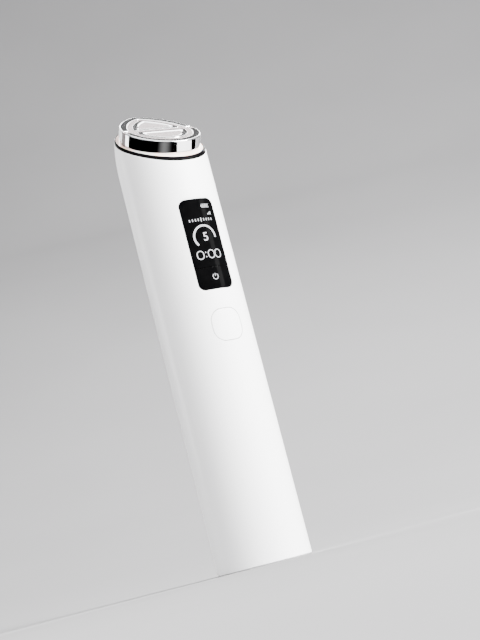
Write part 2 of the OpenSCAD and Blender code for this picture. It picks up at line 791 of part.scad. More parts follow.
module mode_button() color("white") union() {
    difference() {
        intersection() {
            tube_solid();
            towards_display(flange_y - flange_t / 2) translate([0, mode_z])
                round_rect(mode_w, mode_w, mode_corner);
        }
        towards_display(0, tube_r(mode_z) - key_roof) translate([0, mode_z])
            round_rect(mode_w - 2 * key_wall, mode_w - 2 * key_wall, mode_corner - key_wall);
    }
    difference() {
        towards_display(flange_y - flange_t, flange_y) translate([0, mode_z])
            round_rect(2 * key_half_w, 2 * key_half_w, mode_corner + flange_w);
        towards_display(0, flange_y + past) translate([0, mode_z])
            round_rect(mode_w - 2 * key_wall, mode_w - 2 * key_wall, mode_corner - key_wall);
    }
    key_core(mode_z);
}

module power_hollow_2d() translate([0, power_z])
    square([win_w - 2 * key_gap - 2 * key_wall, power_h - 2 * key_gap - 2 * key_wall], center = true);

module power_button() color("black") difference() {
    union() {
        difference() {
            intersection() {
                tube_solid();
                towards_display(flange_y - flange_t / 2) power_2d(key_gap, key_gap);
            }
            towards_display(0, tube_r(power_z) - key_roof) power_hollow_2d();
        }
        difference() {
            translate([-key_half_w, -flange_y, win_bot - flange_w])
                cube([2 * key_half_w, flange_t, power_h + flange_w + 2 * key_gap]);
            towards_display(0, flange_y + past) power_hollow_2d();
        }
        key_core(power_z);
    }
    difference() {
        towards_display() power_mark_2d();
        cylinder(r = mark_floor_r, h = tube_top);
    }
}

module power_icon() color("ivory") difference() {
    intersection() {
        tube_solid();
        towards_display() power_mark_2d();
    }
    cylinder(r = mark_floor_r, h = tube_top);
}

module stem(z) color("whitesmoke") translate([0, -stem_tip_y, z]) rotate([-90, 0, 0])
    cylinder(r = stem_r, h = stem_out + stem_in, $fn = small_fn);

module switch(z) color("gray") difference() {
    on_front(0, z, switch_w, switch_w, switch_h);
    translate([0, -pcb_y - switch_h - past, z]) rotate([-90, 0, 0])
        cylinder(r = stem_r + stem_fit, h = switch_h + past - 0.15, $fn = small_fn);
}

module power_stem() stem(power_z);
module power_switch() switch(power_z);
module mode_stem() stem(mode_z);
module mode_switch() switch(mode_z);

// The vibration motor: a can, its shaft and the half-round weight
module motor_can() color("silver") translate([0, motor_y, motor_z0]) difference() {
    cylinder(d = motor_d, h = motor_l);
    translate([0, 0, motor_l - shaft_in - 0.3]) cylinder(r = shaft_d / 2 + motor_fit, h = motor_l);
}

module motor_shaft() color("gray") translate([0, motor_y, motor_z1 - shaft_in])
    cylinder(d = shaft_d, h = shaft_in + weight_gap + weight_h + 0.4);

module motor_weight() color("dimgray") translate([0, motor_y, motor_z1 + weight_gap]) difference() {
    union() {
        intersection() {
            cylinder(r = weight_r, h = weight_h);
            translate([-big / 2, 0, 0]) cube([big, big, weight_h]);
        }
        cylinder(d = shaft_d + 1.4, h = weight_h);
    }
    translate([0, 0, -past]) cylinder(d = shaft_d, h = weight_h + 2 * past);
}

motor_lead_r = 0.3;
module motor_leads() color("royalblue") for (x = [-1, 1]) wire([
    [x * 0.9, motor_y, motor_z0 - motor_lead_r],
    [x * 0.9, 0, motor_z0 - 1],
    [x * 1.2, board_back + motor_lead_r, motor_z0 - 2.5]
], motor_lead_r);

// The drop-shaped outline, drawn in by an inset: discs for its front and tip, and a sector for each long side
drop_lap = 0.5;
module drop_2d(inset) {
    rs = drop_side_r - inset;
    rt = max(drop_tip_r - inset, tip_min_r);
    tip_y = side_y + sqrt(pow(rs - rt, 2) - pow(side_x, 2));
    tip_turn = atan2(tip_y - side_y, -side_x);
    front = [0, drop_y];
    tip = [0, tip_y];
    out = 2 * drop_side_r;
    translate(front) circle(r = drop_r - inset);
    translate(tip) circle(r = rt);
    for (s = [-1, 1]) intersection() {
        translate([s * side_x, side_y]) circle(r = rs, $fn = 2 * $fn);
        polygon([
            front - [s * drop_lap, 0],
            front,
            front + out * [s * cos(drop_turn), sin(drop_turn)],
            tip + out * [s * cos(tip_turn), sin(tip_turn)],
            tip,
            tip - [s * drop_lap, 0]
        ]);
    }
}

module drop(inset, h0, h1) at_mouth() translate([0, 0, h0]) linear_extrude(height = h1 - h0) drop_2d(inset);

module seam_ring() color("black") difference() {
    union() {
        post(seam_r, 0, seam_t);
        post(core_r, board_h0, 0);
    }
    post(web_r + slip, web_h0, seam_t + past);
    post(leg_ro + slip, board_h0 - past, seam_t + past);
    post(core_r - sleeve_t, board_h0 - past, -sleeve_t);
}

module light_ring() color("peachpuff") difference() {
    union() {
        post(light_r, seam_t, light_top);
        post(web_r, web_h0, light_top);
        post(leg_ro, leg_h0, light_top);
    }
    drop(-slip, pocket_h, light_top + past);
    post(neck_r + slip, leg_h0 - past, light_top + past);
    post(leg_ri, leg_h0 - past, web_h0);
}

module head_screw_places() for (a = head_screw_turns) at_mouth()
    translate([head_screw_r * cos(a), head_screw_r * sin(a), 0]) children();

module head_board() color("darkgreen") difference() {
    post(head_board_r, board_h0, board_h1);
    head_screw_places() translate([0, 0, board_h0 - past])
        cylinder(r = screw_d / 2 + screw_loose, h = pcb_t + 2 * past, $fn = small_fn);
}

// How far a light lies from the axis at an angle: on the leg's circle, or on its drawn-in side if that is nearer
led_r = (leg_ri + leg_ro) / 2;
led_level = board_h1 + led_h / 2;
led_from = [-side_x, shoulder_side(led_level * tan(tilt), led_level)];
function led_way(a) = [abs(sin(a)), cos(a) / cos(tilt) * cos(shoulder_turn)];
function led_root(c, d, r) = (sqrt(pow(c * d, 2) - d * d * (c * c - r * r)) - c * d) / (d * d);
function led_reach(a) = min(led_r, led_root(led_from, led_way(a), shoulder_r - mouth_r + led_r));
module head_lights() color("lemonchiffon") for (i = [0:led_count - 1]) {
    a = (i + 0.5) * 360 / led_count;
    at_mouth() translate([
        led_reach(a) * sin(a) - led_w / 2,
        led_reach(a) * cos(a) / cos(tilt) + led_level * tan(tilt) - led_w / 2,
        board_h1
    ]) cube([led_w, led_w, led_h]);
}

module head_carrier() color("gainsboro") difference() {
    shouldered(core_r) intersection() {
        translate([0, 0, frame_z1]) cylinder(r = core_r, h = big);
        slab(-big, board_h0);
    }
    shouldered(inner_r) intersection() {
        translate([0, 0, frame_z1 - past]) cylinder(r = inner_r, h = big);
        slab(-big, carrier_h0);
    }
    head_screw_places() translate([0, 0, carrier_h0 - past])
        cylinder(r = screw_d / 2 + screw_loose, h = carrier_t + 2 * past, $fn = small_fn);
    translate([-ribbon_w / 2 - flange_clear, slot_y - slot_w / 2, frame_z1])
        cube([ribbon_w + 2 * flange_clear, slot_w, big]);
}

module head_screws() color("silver") head_screw_places() translate([0, 0, carrier_h0])
    screw(head_screw_end - carrier_h0);

slot_y = -1;
slot_w = 2.4;
head_ribbon_top = axis_h + board_h0 / cos(tilt) + slot_y * tan(tilt);
module head_ribbon() color("darkorange") ribbon([
    [board_back, board_z1 - ribbon_lap],
    [board_back, board_z1 + ribbon_lap / 4],
    [slot_y, frame_z1 + ribbon_lap],
    [slot_y, head_ribbon_top]
], ribbon_w, -1);

// The outer electrodes: a flat rim with a skirt, split in two, each with a lug for its pin
module ring_blank() difference() {
    drop(0, skirt_h0, head_h);
    drop(ring_w, skirt_h0 - past, head_h + past);
    drop(skirt_t, skirt_h0 - past, plate_h0);
}

module lug(place, reach) at_mouth() translate([0, place[1] - lug_w / 2, plate_h0 - lug_t]) {
    s = sign(place[0]);
    inner = abs(place[0]) - pin_r - 0.1;
    translate([s > 0 ? inner : -reach, 0, 0]) cube([reach - inner, lug_w, lug_t]);
}

module electrode_ring_front() color("lightgray") union() {
    intersection() {
        ring_blank();
        head_front(bar_y0);
    }
    lug(lug_front, front_x(lug_front_y - lug_w, skirt_t / 2));
}

module electrode_ring_back() color("lightgray") union() {
    intersection() {
        ring_blank();
        head_back(bar_y1);
    }
    lug(lug_back, side_x_at(lug_back_y + lug_w, skirt_t / 2));
}

// The inner electrodes: flat plates with a shallow round dish
module pad_blank(side) intersection() {
    drop(ring_w + ring_gap, plate_h0, head_h);
    if (side < 0) head_front(bar_y0); else head_back(bar_y1);
}

dish_r = 4.4;
dish_ball = (pow(dish_r, 2) + pow(dish, 2)) / (2 * dish);
pad_front_y = (bar_y0 + drop_y - (drop_r - ring_w - ring_gap)) / 2;
pad_back_y = bar_y1 + dish_r + 0.7;
module dish_cut(y) at_mouth() translate([0, y, head_h - dish + dish_ball]) sphere(r = dish_ball, $fn = 4 * $fn);

module electrode_pad_front() color("lightgray") difference() {
    pad_blank(-1);
    dish_cut(pad_front_y);
}

module electrode_pad_back() color("lightgray") difference() {
    pad_blank(1);
    dish_cut(pad_back_y);
}

module pin_at(place, top) at_mouth() translate([place[0], place[1], board_h1])
    cylinder(r = pin_r, h = top - board_h1, $fn = small_fn);

module contact_pins() color("gold") {
    for (p = pad_pins) pin_at(p, plate_h0);
    pin_at(lug_front, plate_h0 - lug_t);
    pin_at(lug_back, plate_h0 - lug_t);
}

module bar_strip() at_mouth() translate([-big / 2, bar_y0, -big / 2]) cube([big, bar_w, big]);

module head_base() color("silver") difference() {
    union() {
        drop(0, pocket_h, skirt_h0);
        drop(skirt_t, pocket_h, plate_h0);
        drop(ring_w, pocket_h, plastic_top);
        intersection() {
            drop(0, pocket_h, plastic_top);
            bar_strip();
        }
        post(neck_r, board_h1, pocket_h + slip);
    }
    lug(lug_front, drop_side_r);
    lug(lug_back, drop_side_r);
    pad_blank(-1);
    pad_blank(1);
    contact_pins();
    head_screw_places() translate([0, 0, board_h1 - past])
        cylinder(r = screw_d / 2, h = head_screw_end - board_h1 + past, $fn = small_fn);
}

body_shell();
bottom_cap();
cap_seal();
cap_screws();
port_shell();
port_tongue();
port_board();
port_screws();
port_ribbon();
chassis_front();
chassis_rear();
chassis_screws();
main_board();
control_chip();
output_chip();
board_parts();
boost_core();
boost_winding();
battery_cell();
battery_guard();
battery_tab();
battery_lead_red();
battery_lead_black();
display_window();
display_icons();
display_panel();
display_frame();
display_ribbon();
power_button();
power_icon();
power_stem();
power_switch();
mode_button();
mode_stem();
mode_switch();
motor_can();
motor_shaft();
motor_weight();
motor_leads();
seam_ring();
light_ring();
head_board();
head_lights();
head_carrier();
head_screws();
head_ribbon();
head_base();
electrode_ring_front();
electrode_ring_back();
electrode_pad_front();
electrode_pad_back();
contact_pins();
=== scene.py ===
# %% [markdown]
# # A microcurrent facial device
# The part is a slim white tube with a slanted head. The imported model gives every
# solid at its true size, and this lesson dresses the outside of it: the lacquered
# tube, the black window with its lit marks, the two keys and the polished head.
# The first lines load the model as a frame that nothing here may move.

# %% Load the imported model
import json
import math

import bmesh
import bpy
from mathutils import Matrix, Vector


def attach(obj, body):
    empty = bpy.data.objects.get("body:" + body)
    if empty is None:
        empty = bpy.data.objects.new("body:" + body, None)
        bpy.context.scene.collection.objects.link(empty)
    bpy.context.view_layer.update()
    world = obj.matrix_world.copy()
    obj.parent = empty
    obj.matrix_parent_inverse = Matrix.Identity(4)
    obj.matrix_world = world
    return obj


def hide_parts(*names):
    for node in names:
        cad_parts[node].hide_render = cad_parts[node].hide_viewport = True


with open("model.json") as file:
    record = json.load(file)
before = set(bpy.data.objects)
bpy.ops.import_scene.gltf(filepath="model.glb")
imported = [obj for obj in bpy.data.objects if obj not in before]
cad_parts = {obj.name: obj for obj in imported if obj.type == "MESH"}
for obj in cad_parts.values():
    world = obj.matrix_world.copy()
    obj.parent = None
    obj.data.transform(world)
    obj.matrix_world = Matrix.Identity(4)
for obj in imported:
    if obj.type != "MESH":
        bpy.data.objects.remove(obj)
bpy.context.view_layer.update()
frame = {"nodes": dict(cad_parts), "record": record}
nodes = frame["nodes"]

# %% [markdown]
# ## Sizes
# Every size is in millimetres, as on a drawing, and becomes metres only when a
# piece is finished. The tube tapers a little, and its mouth is cut at a slant, so
# two helpers are enough to place anything: the tube's radius at a height, and the
# matrix of the slanted plane on which the whole head sits.

# %% Sizes of the tube and of the slanted head
MM = 0.001
BASE_R = 17.0
TAPER = 0.35
AXIS_H = 157.1
BORE_R = 14.95
TILT = math.radians(35.4)
HEAD = Matrix.Translation((0, 0, AXIS_H)) @ Matrix.Rotation(TILT, 4, "X")
HEAD_UP = HEAD.to_3x3() @ Vector((0, 0, 1))
TURNS = 256
MOUTH_R = BASE_R - TAPER

DROP_R = 14.6
DROP_Y = -1.85
BULGE = 9.6
TURN = math.radians(10)
SIDE = Vector((-BULGE * math.cos(TURN), DROP_Y - BULGE * math.sin(TURN), 0))


def tube_r(z):
    """The tube's outer radius at a height."""
    return BASE_R - TAPER * z / AXIS_H


def all_of(bm):
    return bm.verts[:] + bm.edges[:] + bm.faces[:]


def only(kind, items):
    """The items of one kind, such as the points, from what an operator returns."""
    return [item for item in items if isinstance(item, kind)]


print("mouth radius", round(tube_r(AXIS_H), 2), "mm")

# %% [markdown]
# Behind its middle the tube isn't round up to the rim. It is drawn in on both sides,
# so that its mouth follows the drop shape of the head. On the solids two large
# cylinders with a lean do this. Here the same cylinders give the reach of the
# surface from the axis, and a soft minimum melts them into the round tube.

# %% The drawn-in shoulders
SHOULDER_R = DROP_R + BULGE + 2.03
SHOULDER_Y = SIDE.y - 1.07
LEAN = math.radians(20)
LEAN_REST = TILT - LEAN
MELT = 0.7
FADE_FROM = -6.0
FADE_OVER = 5.0


def ease(t):
    t = min(max(t, 0), 1)
    return t * t * (3 - 2 * t)


def drawn_in(r, start, way, y):
    """The reach of a surface of radius r; start and way are a line's start and direction, seen
    along the cylinder from its axis."""
    start, way = Vector(start), Vector(way)
    far = SHOULDER_R - MOUTH_R + r
    dot = start.dot(way)
    steep = way.length_squared
    side = (math.sqrt(dot * dot - steep * (start.length_squared - far * far)) - dot) / steep
    gap = max(MELT - abs(side - r), 0)
    soft = min(side, r) - gap * gap / (4 * MELT)
    return r - (r - soft) * ease((y - FADE_FROM) / FADE_OVER)


def reach_at_level(r, across, back, z):
    """The reach at a level z, towards a direction given by its parts across and back."""
    up = z - AXIS_H
    start = (-SIDE.x, up * math.sin(LEAN) - SHOULDER_Y * math.cos(LEAN_REST))
    y = r * back * math.cos(TILT) + up * math.sin(TILT)
    return drawn_in(r, start, (abs(across), back * math.cos(LEAN)), y) if y > FADE_FROM else r


def reach_in_plane(r, across, back, h):
    """The same in the slanted plane at a height h above the mouth."""
    rise = h * math.tan(TILT)
    start = (-SIDE.x, (rise - SHOULDER_Y - h * math.tan(LEAN_REST)) * math.cos(LEAN_REST))
    y = r * back / math.cos(TILT) + rise
    way = (abs(across), back / math.cos(TILT) * math.cos(LEAN_REST))
    return drawn_in(r, start, way, y) if y > FADE_FROM else r


print("reach of the rim beside the head:", round(reach_in_plane(MOUTH_R, 0.8, 0.6, 0), 2), "mm")

# %% [markdown]
# ## Finishing a piece
# A piece is a closed mesh in a bmesh. To finish it, its doubles are merged, its
# faces turned outwards and its size brought to metres. Weighted normals then keep
# broad flat faces flat and let only the thin rounded edges bend the light, which is
# what makes a moulded or polished edge look like one.

# %% A helper that turns a bmesh into a finished piece
collection = bpy.context.scene.collection
SHARP = math.radians(38)
DOUBLES_M = 0.5e-6
FACE_WEIGHT = 60


def object_from(name, bm, material=None):
    """Turns a bmesh into an object of the scene and frees the bmesh."""
    mesh = bpy.data.meshes.new(name)
    bm.to_mesh(mesh)
    bm.free()
    if material:
        mesh.materials.append(material)
    made = bpy.data.objects.new(name, mesh)
    collection.objects.link(made)
    return made


def finish_piece(name, bm, material, body="housing", stands_for=(), on_head=False,
                 sharp=SHARP):
    """Makes the object, lets it ride on its body and hides the nodes it stands for."""
    if on_head:
        bmesh.ops.transform(bm, matrix=HEAD, verts=bm.verts)
    bmesh.ops.scale(bm, vec=(MM, MM, MM), verts=bm.verts)
    bmesh.ops.remove_doubles(bm, verts=bm.verts, dist=DOUBLES_M)
    bmesh.ops.recalc_face_normals(bm, faces=bm.faces)
    open_edges = sum(1 for edge in bm.edges if len(edge.link_faces) != 2)
    piece = object_from(name, bm, material)
    piece.data.shade_smooth()
    piece.data.set_sharp_from_angle(angle=sharp)
    weighted = piece.modifiers.new("weighted normals", "WEIGHTED_NORMAL")
    weighted.weight = FACE_WEIGHT
    weighted.keep_sharp = True
    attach(piece, body)
    if stands_for:
        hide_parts(*stands_for)
    print(f"{name}: {len(piece.data.polygons)} faces, {open_edges} open edges")
    return piece


# %% [markdown]
# ## Materials
# Real plastic and metal are never one even colour. Each material here starts from
# the Principled shader and adds what its surface shows from close by: the fine
# orange peel of lacquer, the grain of a moulded part, the faint wipe marks on
# polish. All of it is made from noise on Object coordinates, so it stays on the
# piece when a key moves.

# %% Helpers for node materials
def new_material(name, colour, roughness, metallic=0.0):
    """A Principled material, and a dictionary with what is needed to add detail to it."""
    material = bpy.data.materials.new(name)
    material.use_nodes = True
    tree = material.node_tree
    shader = tree.nodes["Principled BSDF"]
    shader.inputs["Base Color"].default_value = (*colour, 1)
    shader.inputs["Roughness"].default_value = roughness
    shader.inputs["Metallic"].default_value = metallic
    place = tree.nodes.new("ShaderNodeTexCoord")
    return {"material": material, "tree": tree, "shader": shader, "place": place}


def noise(kit, scale, detail=3.0, stretch=(1, 1, 1)):
    """A noise texture on Object coordinates; scale counts its waves in a metre."""
    tree = kit["tree"]
    mapping = tree.nodes.new("ShaderNodeMapping")
    mapping.inputs["Scale"].default_value = stretch
    texture = tree.nodes.new("ShaderNodeTexNoise")
    texture.inputs["Scale"].default_value = scale
    texture.inputs["Detail"].default_value = detail
    tree.links.new(kit["place"].outputs["Object"], mapping.inputs["Vector"])
    tree.links.new(mapping.outputs["Vector"], texture.inputs["Vector"])
    return texture.outputs["Fac"]


def ramp(kit, value, low, high, start=0.35, stop=0.65):
    """Spreads a value between two colours."""
    node = kit["tree"].nodes.new("ShaderNodeValToRGB")
    node.color_ramp.elements[0].position = start
    node.color_ramp.elements[0].color = (*low, 1)
    node.color_ramp.elements[1].position = stop
    node.color_ramp.elements[1].color = (*high, 1)
    kit["tree"].links.new(value, node.inputs["Fac"])
    return node.outputs["Color"]


def vary_roughness(kit, value, low, high):
    node = kit["tree"].nodes.new("ShaderNodeMapRange")
    node.inputs["From Min"].default_value = 0.3
    node.inputs["From Max"].default_value = 0.7
    node.inputs["To Min"].default_value = low
    node.inputs["To Max"].default_value = high
    kit["tree"].links.new(value, node.inputs["Value"])
    kit["tree"].links.new(node.outputs["Result"], kit["shader"].inputs["Roughness"])


def add_bump(kit, value, height_mm, strength=1.0):
    node = kit["tree"].nodes.new("ShaderNodeBump")
    node.inputs["Distance"].default_value = height_mm * MM
    node.inputs["Strength"].default_value = strength
    kit["tree"].links.new(value, node.inputs["Height"])
    kit["tree"].links.new(node.outputs["Normal"], kit["shader"].inputs["Normal"])


def colour_from(kit, value, low, high, start=0.35, stop=0.65):
    spread = ramp(kit, value, low, high, start, stop)
    kit["tree"].links.new(spread, kit["shader"].inputs["Base Color"])


# %% [markdown]
# The tube, its cap and the mode key share one pearl-white lacquer. It is satin, so
# light slides over it in broad soft bands. A very fine orange peel breaks up the
# highlight, and a thin clear coat gives it the glow of lacquer over plastic.

# %% White lacquer
def white_lacquer(name, tone=0.9):
    kit = new_material(name, (tone, tone, tone), 0.36)
    cloud = noise(kit, 60, 2)
    colour_from(kit, cloud, (tone * 0.985, tone * 0.985, tone * 0.99),
                (tone, tone * 0.998, tone * 0.995))
    vary_roughness(kit, noise(kit, 900, 3), 0.33, 0.4)
    add_bump(kit, noise(kit, 5200, 2), 0.0016)
    kit["shader"].inputs["Coat Weight"].default_value = 0.25
    kit["shader"].inputs["Coat Roughness"].default_value = 0.22
    return kit["material"]


lacquer = white_lacquer("white lacquer")
key_lacquer = white_lacquer("white key lacquer", 0.91)
print(lacquer.name, "and", key_lacquer.name)

# %% [markdown]
# Window, power key and seam ring are piano black. The base is nearly black with only
# a faint mirror shine, so that the black stays deep under bright lamps, and the wipe
# marks of a finger show as patches where the polish is a touch less sharp.

# %% Piano black
def piano_black(name, wipe=0.09, shine=0.06):
    kit = new_material(name, (0.0012, 0.0012, 0.0013), 0.08)
    colour_from(kit, noise(kit, 300, 2), (0.0010, 0.0010, 0.0011), (0.0015, 0.0015, 0.0016))
    vary_roughness(kit, noise(kit, 260, 4, (1, 1, 0.35)), 0.04, wipe)
    kit["shader"].inputs["Specular IOR Level"].default_value = shine
    return kit["material"]


window_black = piano_black("window black")
seam_black = piano_black("seam black", 0.2, 0.02)
print(window_black.name, "and", seam_black.name)

# %% [markdown]
# The electrodes are polished chrome. Mirror metal takes its whole look from what
# surrounds it, so the material stays simple: a bright tint, a very low roughness
# that drifts a little, and hair-fine polishing marks.

# %% Polished chrome
def polished_chrome(name, low=0.035, high=0.075):
    kit = new_material(name, (0.83, 0.83, 0.84), 0.05, metallic=1.0)
    colour_from(kit, noise(kit, 180, 2), (0.80, 0.80, 0.815), (0.86, 0.86, 0.865))
    vary_roughness(kit, noise(kit, 700, 4), low, high)
    add_bump(kit, noise(kit, 900, 3, (6, 1, 1)), 0.0008, 0.6)
    return kit["material"]


chrome = polished_chrome("polished chrome")
pad_chrome = polished_chrome("pad chrome", 0.06, 0.1)
print(chrome.name, "and", pad_chrome.name)

# %% [markdown]
# The light ring is a frosted light guide. It takes in light from small lamps below
# it, so it glows faintly in a warm tone with a drift towards pink, and it still has
# a glossy outer skin.

# %% Light guide, insulator and lit marks
guide = new_material("light guide", (0.93, 0.84, 0.78), 0.16)
guide_cloud = noise(guide, 55, 1)
colour_from(guide, guide_cloud, (0.90, 0.74, 0.66), (0.95, 0.89, 0.83), 0.40, 0.62)
vary_roughness(guide, noise(guide, 900, 2), 0.12, 0.2)
guide["tree"].links.new(ramp(guide, guide_cloud, (1.0, 0.62, 0.52), (1.0, 0.86, 0.76), 0.4, 0.62),
                        guide["shader"].inputs["Emission Color"])
guide["shader"].inputs["Emission Strength"].default_value = 0.9
guide["shader"].inputs["Subsurface Weight"].default_value = 0.3
guide["shader"].inputs["Subsurface Scale"].default_value = 0.0015
guide["shader"].inputs["Subsurface Radius"].default_value = (1.0, 0.6, 0.4)
guide["shader"].inputs["Coat Weight"].default_value = 0.8
guide["shader"].inputs["Coat Roughness"].default_value = 0.05

insulator = new_material("insulator grey", (0.15, 0.13, 0.13), 0.42)
insulator["shader"].inputs["Specular IOR Level"].default_value = 0.2
colour_from(insulator, noise(insulator, 500, 3), (0.14, 0.12, 0.12), (0.16, 0.14, 0.14))
vary_roughness(insulator, noise(insulator, 1500, 3), 0.36, 0.48)
add_bump(insulator, noise(insulator, 4200, 3), 0.004)

marks = new_material("lit marks", (0.03, 0.03, 0.032), 0.3)
marks["shader"].inputs["Specular IOR Level"].default_value = 0.1
marks["tree"].links.new(ramp(marks, noise(marks, 1400, 2), (0.86, 0.88, 0.94), (0.97, 0.98, 1.0)),
                        marks["shader"].inputs["Emission Color"])
vary_roughness(marks, noise(marks, 900, 2), 0.25, 0.35)
marks["shader"].inputs["Emission Strength"].default_value = 2.3
print("guide, insulator and marks are ready")

# %% [markdown]
# ## The tube
# The real tube is one moulding with a slanted mouth. Its section is spun about the
# axis, and one slanted plane cuts the mouth. The two rims of the cut are bridged,
# and the outer one is rounded: that soft edge catches the thin bright line right
# under the black seam.

# %% Spin the tube and cut its mouth
CHAMFER = 0.4
BASE_ROUND = 0.12
MOUTH_ROUND = 0.16
MOUTH_H = -0.45
WALL = MOUTH_R - BORE_R
STEPS_FROM = 137
STEP = 1.5
LOW_LEVELS = (CHAMFER, 30, 60, 75.5, 91.8, 95.5, 113, 131.4)
TOP_LEVELS = tuple(STEPS_FROM + STEP * i for i in range(28))


def round_edges(bm, edges, radius, segments=3):
    """Rounds a set of edges."""
    return bmesh.ops.bevel(bm, geom=edges, offset=radius, offset_type="OFFSET", affect="EDGES",
                           segments=segments, profile=0.5, material=-1, clamp_overlap=True)


def radius_of(vert):
    return math.hypot(vert.co.x, vert.co.y)


def spun(bm, section):
    """Spins a closed section, given as radius and height, about the axis."""
    verts = [bm.verts.new((r, 0, z)) for r, z in section]
    edges = [bm.edges.new((verts[i - 1], verts[i])) for i in range(len(verts))]
    bmesh.ops.spin(bm, geom=verts + edges, cent=(0, 0, 0), axis=(0, 0, 1),
                   angle=2 * math.pi, steps=TURNS, use_merge=True)
    bmesh.ops.remove_doubles(bm, verts=bm.verts, dist=1e-4)


def cut_slanted(bm, h, keep_below=True):
    """Cuts everything at a height above the mouth's plane and returns the new edges."""
    side = 1 if keep_below else -1
    made = bmesh.ops.bisect_plane(bm, geom=all_of(bm), dist=1e-5,
                                  plane_co=HEAD @ Vector((0, 0, h)), plane_no=HEAD_UP * side,
                                  clear_outer=True)
    return only(bmesh.types.BMEdge, made["geom_cut"])


def is_outer(vert):
    """Whether a point of the rim belongs to the outside of the wall."""
    r = radius_of(vert)
    return r > reach_at_level(MOUTH_R, vert.co.x / r, vert.co.y / r, vert.co.z) - WALL / 2


tube = bmesh.new()
outside = [(tube_r(z), z) for z in LOW_LEVELS + TOP_LEVELS]
inside = [(BORE_R, z) for z in reversed(TOP_LEVELS)]
spun(tube, [(BORE_R, 0), (BASE_R - CHAMFER, 0)] + outside + inside)
for vert in tube.verts:
    if vert.co.z > STEPS_FROM:
        r = radius_of(vert)
        share = reach_at_level(r, vert.co.x / r, vert.co.y / r, vert.co.z) / r
        vert.co.x *= share
        vert.co.y *= share
rims = cut_slanted(tube, MOUTH_H)
bmesh.ops.bridge_loops(tube, edges=rims)
outer_rim = [edge for edge in rims if edge.is_valid and all(is_outer(v) for v in edge.verts)]
round_edges(tube, outer_rim, MOUTH_ROUND, 5)
base_edges = [edge for edge in tube.edges
              if all(abs(v.co.z - CHAMFER) < 1e-3 or abs(v.co.z) < 1e-3 for v in edge.verts)
              and all(radius_of(v) > BASE_R - 1 for v in edge.verts)
              and abs(edge.verts[0].co.z - edge.verts[1].co.z) < 1e-3]
round_edges(tube, base_edges, BASE_ROUND, 2)
print("rim edges rounded:", len(outer_rim), "base edges:", len(base_edges))

# %% [markdown]
# ## Flat sheets that follow the tube
# The window, both keys and the lit marks are flat outlines laid round the tube. A
# sheet starts as one face towards -Y whose corners are rounded. Upright cuts slice
# it into narrow strips, so that it can bend, and then each point moves straight
# back until it lies on the tube.

# %% Helpers for sheets
WIN_W = 13.8
WIN_TOP = 130.3
WIN_BOTTOM = 96.8
WIN_CORNER = 2.5
LENS_BOTTOM = 105.1
TO_FRONT = Matrix.Rotation(math.radians(90), 4, "X")
FLAT = 1e-4
RIM_ANGLE = 0.5
Y, Z = 1, 2


def sheet_face(bm, low, high, corners, segments=10):
    """One face in X and Z that looks towards -Y. The corners go bottom left, bottom right, top
    right, top left."""
    middle = Vector(((low[0] + high[0]) / 2, 0, (low[1] + high[1]) / 2))
    size = Matrix.Diagonal((high[0] - low[0], high[1] - low[1], 1, 1))
    made = bmesh.ops.create_grid(bm, x_segments=1, y_segments=1, size=0.5,
                                 matrix=Matrix.Translation(middle) @ TO_FRONT @ size)
    order = sorted(made["verts"], key=lambda v: math.atan2(v.co.z - middle.z, v.co.x - middle.x))
    for vert, radius in zip(order, corners):
        if radius > 0:
            bmesh.ops.bevel(bm, geom=[vert], offset=radius, offset_type="OFFSET", affect="VERTICES",
                            segments=segments, profile=0.5, material=-1, clamp_overlap=False)


def slice_sheet(bm, half_width, step=0.5):
    """Cuts a sheet into upright strips."""
    count = int(half_width / step) + 1
    for i in range(-count, count + 1):
        bmesh.ops.bisect_plane(bm, geom=all_of(bm), plane_co=(i * step, 0, 0), plane_no=(1, 0, 0))


def give_body(bm, way):
    """Gives flat faces a body: a copy of them is moved away, and walls join the two."""
    made = bmesh.ops.extrude_face_region(bm, geom=bm.faces[:], use_keep_orig=True)
    bmesh.ops.translate(bm, vec=way, verts=only(bmesh.types.BMVert, made["geom"]))
    bmesh.ops.recalc_face_normals(bm, faces=bm.faces)


def rim_of(bm, axis, level):
    """The edges between the flat side at a level of an axis and the walls round it."""
    return [edge for edge in bm.edges
            if all(abs(v.co[axis] - level) < FLAT for v in edge.verts)
            and len(edge.link_faces) == 2 and edge.calc_face_angle(0) > RIM_ANGLE]


def lay_round_tube(bm, lift=0.0):
    """Moves each point straight back until the sheet's front lies on the tube."""
    for vert in bm.verts:
        r = tube_r(vert.co.z) + lift
        vert.co.y -= math.sqrt(r * r - vert.co.x * vert.co.x)


print("window from", WIN_BOTTOM, "to", WIN_TOP, "mm")

# %% [markdown]
# Two openings go through the tube's wall, one for the window with its power key and
# one for the mode key. Prisms with the same outlines are subtracted with Boolean
# modifiers, which are applied at once, and the openings' edges are eased.

# %% Cut the openings and finish the tube
MODE_W = 11.4
MODE_CORNER = 4.2
MODE_Z = 83.9
KEY_GAP = 0.2
CUT_DEPTH = 8
EASE = 0.15
OPEN_LOW, OPEN_HIGH = 70, 135


def evaluated_mesh(item):
    """The mesh of an object with its modifiers applied, or of a text."""
    bpy.context.view_layer.update()
    graph = bpy.context.evaluated_depsgraph_get()
    return bpy.data.meshes.new_from_object(item.evaluated_get(graph))


def cutter(name, low, high, corners):
    bm = bmesh.new()
    sheet_face(bm, low, high, corners, 12)
    give_body(bm, (0, CUT_DEPTH, 0))
    bmesh.ops.translate(bm, vec=(0, -BASE_R - 2, 0), verts=bm.verts)
    return object_from(name, bm)


